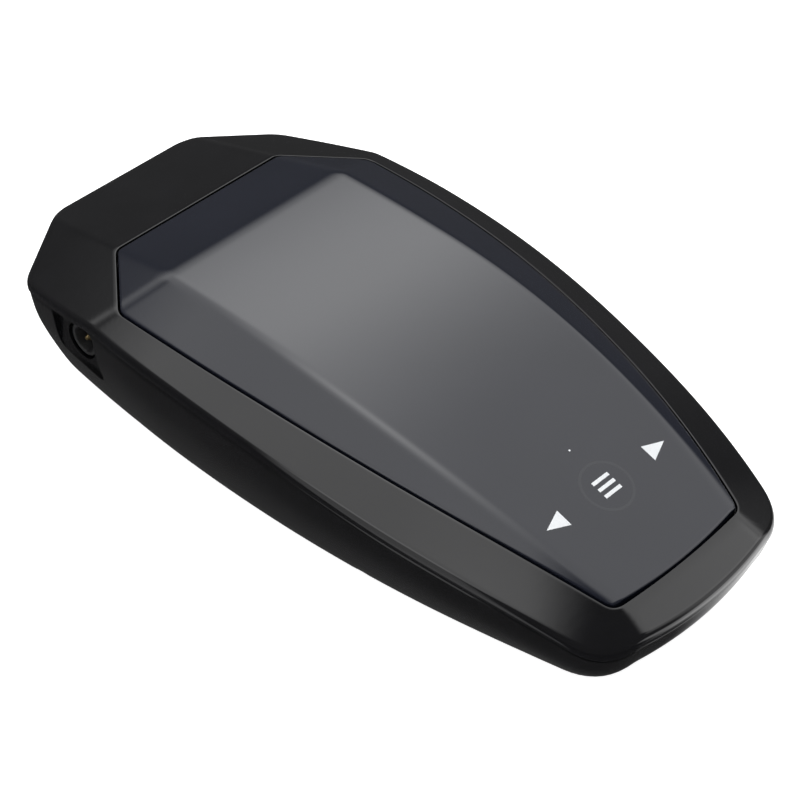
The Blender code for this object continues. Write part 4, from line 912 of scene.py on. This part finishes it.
CARRIED_OVER = {
    "lens_tape": tape_foam, "main_board": board_mask, "radio_board": board_mask, "power_board": board_mask,
    "display_panel": panel_glass, "display_holder": satin_black, "display_ribbon": ribbon_film,
    "processor_chip": chip_resin, "gps_patch_antenna": ceramic, "capacitor_1": can_metal,
    "capacitor_2": can_metal, "speaker_frame": satin_black, "speaker_magnet": plated,
    "speaker_cone": cone_paper, "horn_antenna": cast_metal, "radio_can": tinned,
    "laser_sensor_tube": satin_black, "laser_sensor_lens": sensor_red, "laser_window": window_smoke,
    "socket_pin": brass, "power_switch_body": satin_black, "power_switch_slider": knob_black,
    "touch_spring_left": spring_wire, "touch_spring_middle": spring_wire, "touch_spring_right": spring_wire,
}
for i in range(1, 5):
    CARRIED_OVER[f"foot_{i}"] = rubber
    CARRIED_OVER[f"case_screw_{i}"] = black_steel
    CARRIED_OVER[f"board_screw_{i}"] = black_steel
for node, finish in CARRIED_OVER.items():
    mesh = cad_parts[node].data
    mesh.materials.clear()
    mesh.materials.append(finish)

# ---------------------------------------------------------------- studio

# Brightness of each part of the studio
PANEL = 1.6
FRONT_LAMP = 1.6
TOP_LAMP = 2.4
NEAR_STRIP = 0.75
DRIVER_STRIP = 1.1
LOW_CARD = 1.7
LOW_WALL = 0.06
HIGH_WALL = 0.13
FLOOR_GLOW = 0.9
FLOOR_HALF = 30.0

# Camera: where it stands, and its right, up and view directions
CAMERA_PLACE = Vector((-0.1632, -0.1647, 0.2284))
CAMERA_RIGHT = Vector((0.7059, -0.7083, 0.0))
CAMERA_UP = Vector((0.4870, 0.4854, 0.7261))
CAMERA_AHEAD = Vector((0.5143, 0.5126, -0.6876))
CAMERA_LENS = 103.5


def make_floor():
    """A pale floor with a glow of its own, left out of the reflections in the gloss."""
    f = Finish("studio_floor_paint")
    cloud = f.spread(f.noise(6.0, 3.0), 0.3, 0.7, 0.0, 1.0)
    f.set(Base_Color=f.blend(cloud, rgba(0.80, 0.80, 0.80), rgba(0.83, 0.83, 0.83)), Roughness=0.9)
    f.shader.inputs["Emission Color"].default_value = rgba(1.0, 1.0, 1.0)
    f.shader.inputs["Emission Strength"].default_value = FLOOR_GLOW
    bm = bmesh.new()
    bmesh.ops.create_grid(bm, x_segments=8, y_segments=8, size=FLOOR_HALF)
    floor = mesh_object(bm, "floor")
    floor.data.materials.append(f.material)
    floor.visible_glossy = False


class Sky:
    """World nodes that turn a direction into the brightness of the studio round the part."""

    def __init__(self):
        self.world = bpy.data.worlds.new("studio_world")
        self.world.use_nodes = True
        self.tree = self.world.node_tree
        coords = self.tree.nodes.new("ShaderNodeTexCoord").outputs["Generated"]
        split = self.tree.nodes.new("ShaderNodeSeparateXYZ")
        self.tree.links.new(coords, split.inputs[0])
        self.x, self.y, self.z = split.outputs[0], split.outputs[1], split.outputs[2]
        self.flat = self.distance(self.x, self.y)

    def put(self, socket, value):
        if isinstance(value, bpy.types.NodeSocket):
            self.tree.links.new(value, socket)
        else:
            socket.default_value = value

    def math(self, operation, *values):
        made = self.tree.nodes.new("ShaderNodeMath")
        made.operation = operation
        for socket, value in zip(made.inputs, values):
            self.put(socket, value)
        return made.outputs[0]

    def times(self, first, second):
        return self.math("MULTIPLY", first, second)

    def plus(self, first, second):
        return self.math("ADD", first, second)

    def distance(self, first, second):
        return self.math("SQRT", self.plus(self.times(first, first), self.times(second, second)))

    def step(self, value, low, high):
        """0 at low, 1 at high, smooth between."""
        made = self.tree.nodes.new("ShaderNodeMapRange")
        made.interpolation_type = "SMOOTHSTEP"
        self.put(made.inputs[0], value)
        made.inputs[1].default_value, made.inputs[2].default_value = low, high
        return made.outputs[0]

    def towards(self, azimuth, inner, outer):
        """1 near an azimuth in degrees from +Y towards +X, 0 further off."""
        angle = math.radians(azimuth)
        along = self.plus(self.times(self.x, math.sin(angle)), self.times(self.y, math.cos(angle)))
        far, near = math.cos(math.radians(outer)), math.cos(math.radians(inner))
        return self.step(self.math("DIVIDE", along, self.flat), far, near)

    def spot(self, along, across, centre, reach):
        """A soft oval lamp on the overhead panel: 1 at its centre, 0 at its reach along and across."""
        off_along = self.math("DIVIDE", self.math("SUBTRACT", along, centre[0]), reach[0])
        off_across = self.math("DIVIDE", self.math("SUBTRACT", across, centre[1]), reach[1])
        return self.step(self.distance(off_along, off_across), 1.0, 0.0)

    def finish(self, brightness):
        background = self.tree.nodes["Background"]
        self.tree.links.new(brightness, background.inputs["Strength"])
        background.inputs["Color"].default_value = rgba(1.0, 1.0, 1.0)
        bpy.context.scene.world = self.world


def sine(degrees):
    return math.sin(math.radians(degrees))


def make_world():
    """A wide overhead panel with two soft lamps in it, two upright strips, a low card, and dim walls."""
    sky = Sky()
    height = sky.math("MAXIMUM", sky.z, 0.02)
    over_x = sky.math("DIVIDE", sky.x, height)
    over_y = sky.math("DIVIDE", sky.y, height)
    driver_edge = sky.plus(over_y, sky.times(sky.math("MAXIMUM", over_x, 0.0), 0.6))
    panel = sky.times(sky.step(driver_edge, -0.30, -0.12), sky.step(sky.z, sine(18), sine(34)))
    along = sky.times(sky.plus(over_x, over_y), 0.7071)
    across = sky.times(sky.math("SUBTRACT", over_x, over_y), 0.7071)
    front_lamp = sky.times(sky.spot(along, across, (1.14, -0.04), (0.64, 0.56)), panel)
    top_lamp = sky.times(sky.spot(along, across, (0.36, -0.14), (0.66, 0.50)), panel)
    low_side = sky.times(sky.step(sky.z, sine(50), sine(40)), sky.towards(-34, 24, 42))
    panel = sky.times(panel, sky.math("SUBTRACT", 1.0, sky.times(low_side, 0.85)))
    band = sky.times(sky.step(sky.z, sine(-50), sine(-38)), sky.step(sky.z, sine(52), sine(40)))
    near_strip = sky.times(sky.towards(-80, 8, 15), band)
    driver_strip = sky.times(sky.towards(132, 10, 22), band)
    depth = sky.math("MAXIMUM", sky.math("MULTIPLY", sky.z, -1.0), 0.02)
    card_side = sky.step(sky.math("DIVIDE", sky.x, depth), 0.55, 0.95)
    card_end = sky.step(sky.math("DIVIDE", sky.y, depth), 1.7, 1.2)
    card = sky.times(sky.times(card_side, card_end), sky.step(sky.z, sine(-6), sine(-14)))
    walls = sky.plus(LOW_WALL, sky.times(sky.step(sky.z, sine(-15), sine(5)), HIGH_WALL - LOW_WALL))
    total = walls
    for part, strength in (
        (panel, PANEL), (front_lamp, FRONT_LAMP), (top_lamp, TOP_LAMP),
        (near_strip, NEAR_STRIP), (driver_strip, DRIVER_STRIP), (card, LOW_CARD),
    ):
        total = sky.plus(total, sky.times(part, strength))
    sky.finish(total)


def make_camera():
    camera = bpy.data.cameras.new("studio_camera")
    camera.lens = CAMERA_LENS
    camera.sensor_width = 36.0
    camera.clip_start = 0.01
    obj = bpy.data.objects.new("studio_camera", camera)
    turn = Matrix((CAMERA_RIGHT, CAMERA_UP, -CAMERA_AHEAD)).transposed().to_4x4()
    obj.matrix_world = Matrix.Translation(CAMERA_PLACE) @ turn
    bpy.context.scene.collection.objects.link(obj)
    bpy.context.scene.camera = obj


make_floor()
make_world()
make_camera()
scene = bpy.context.scene
scene.view_settings.view_transform = "Standard"
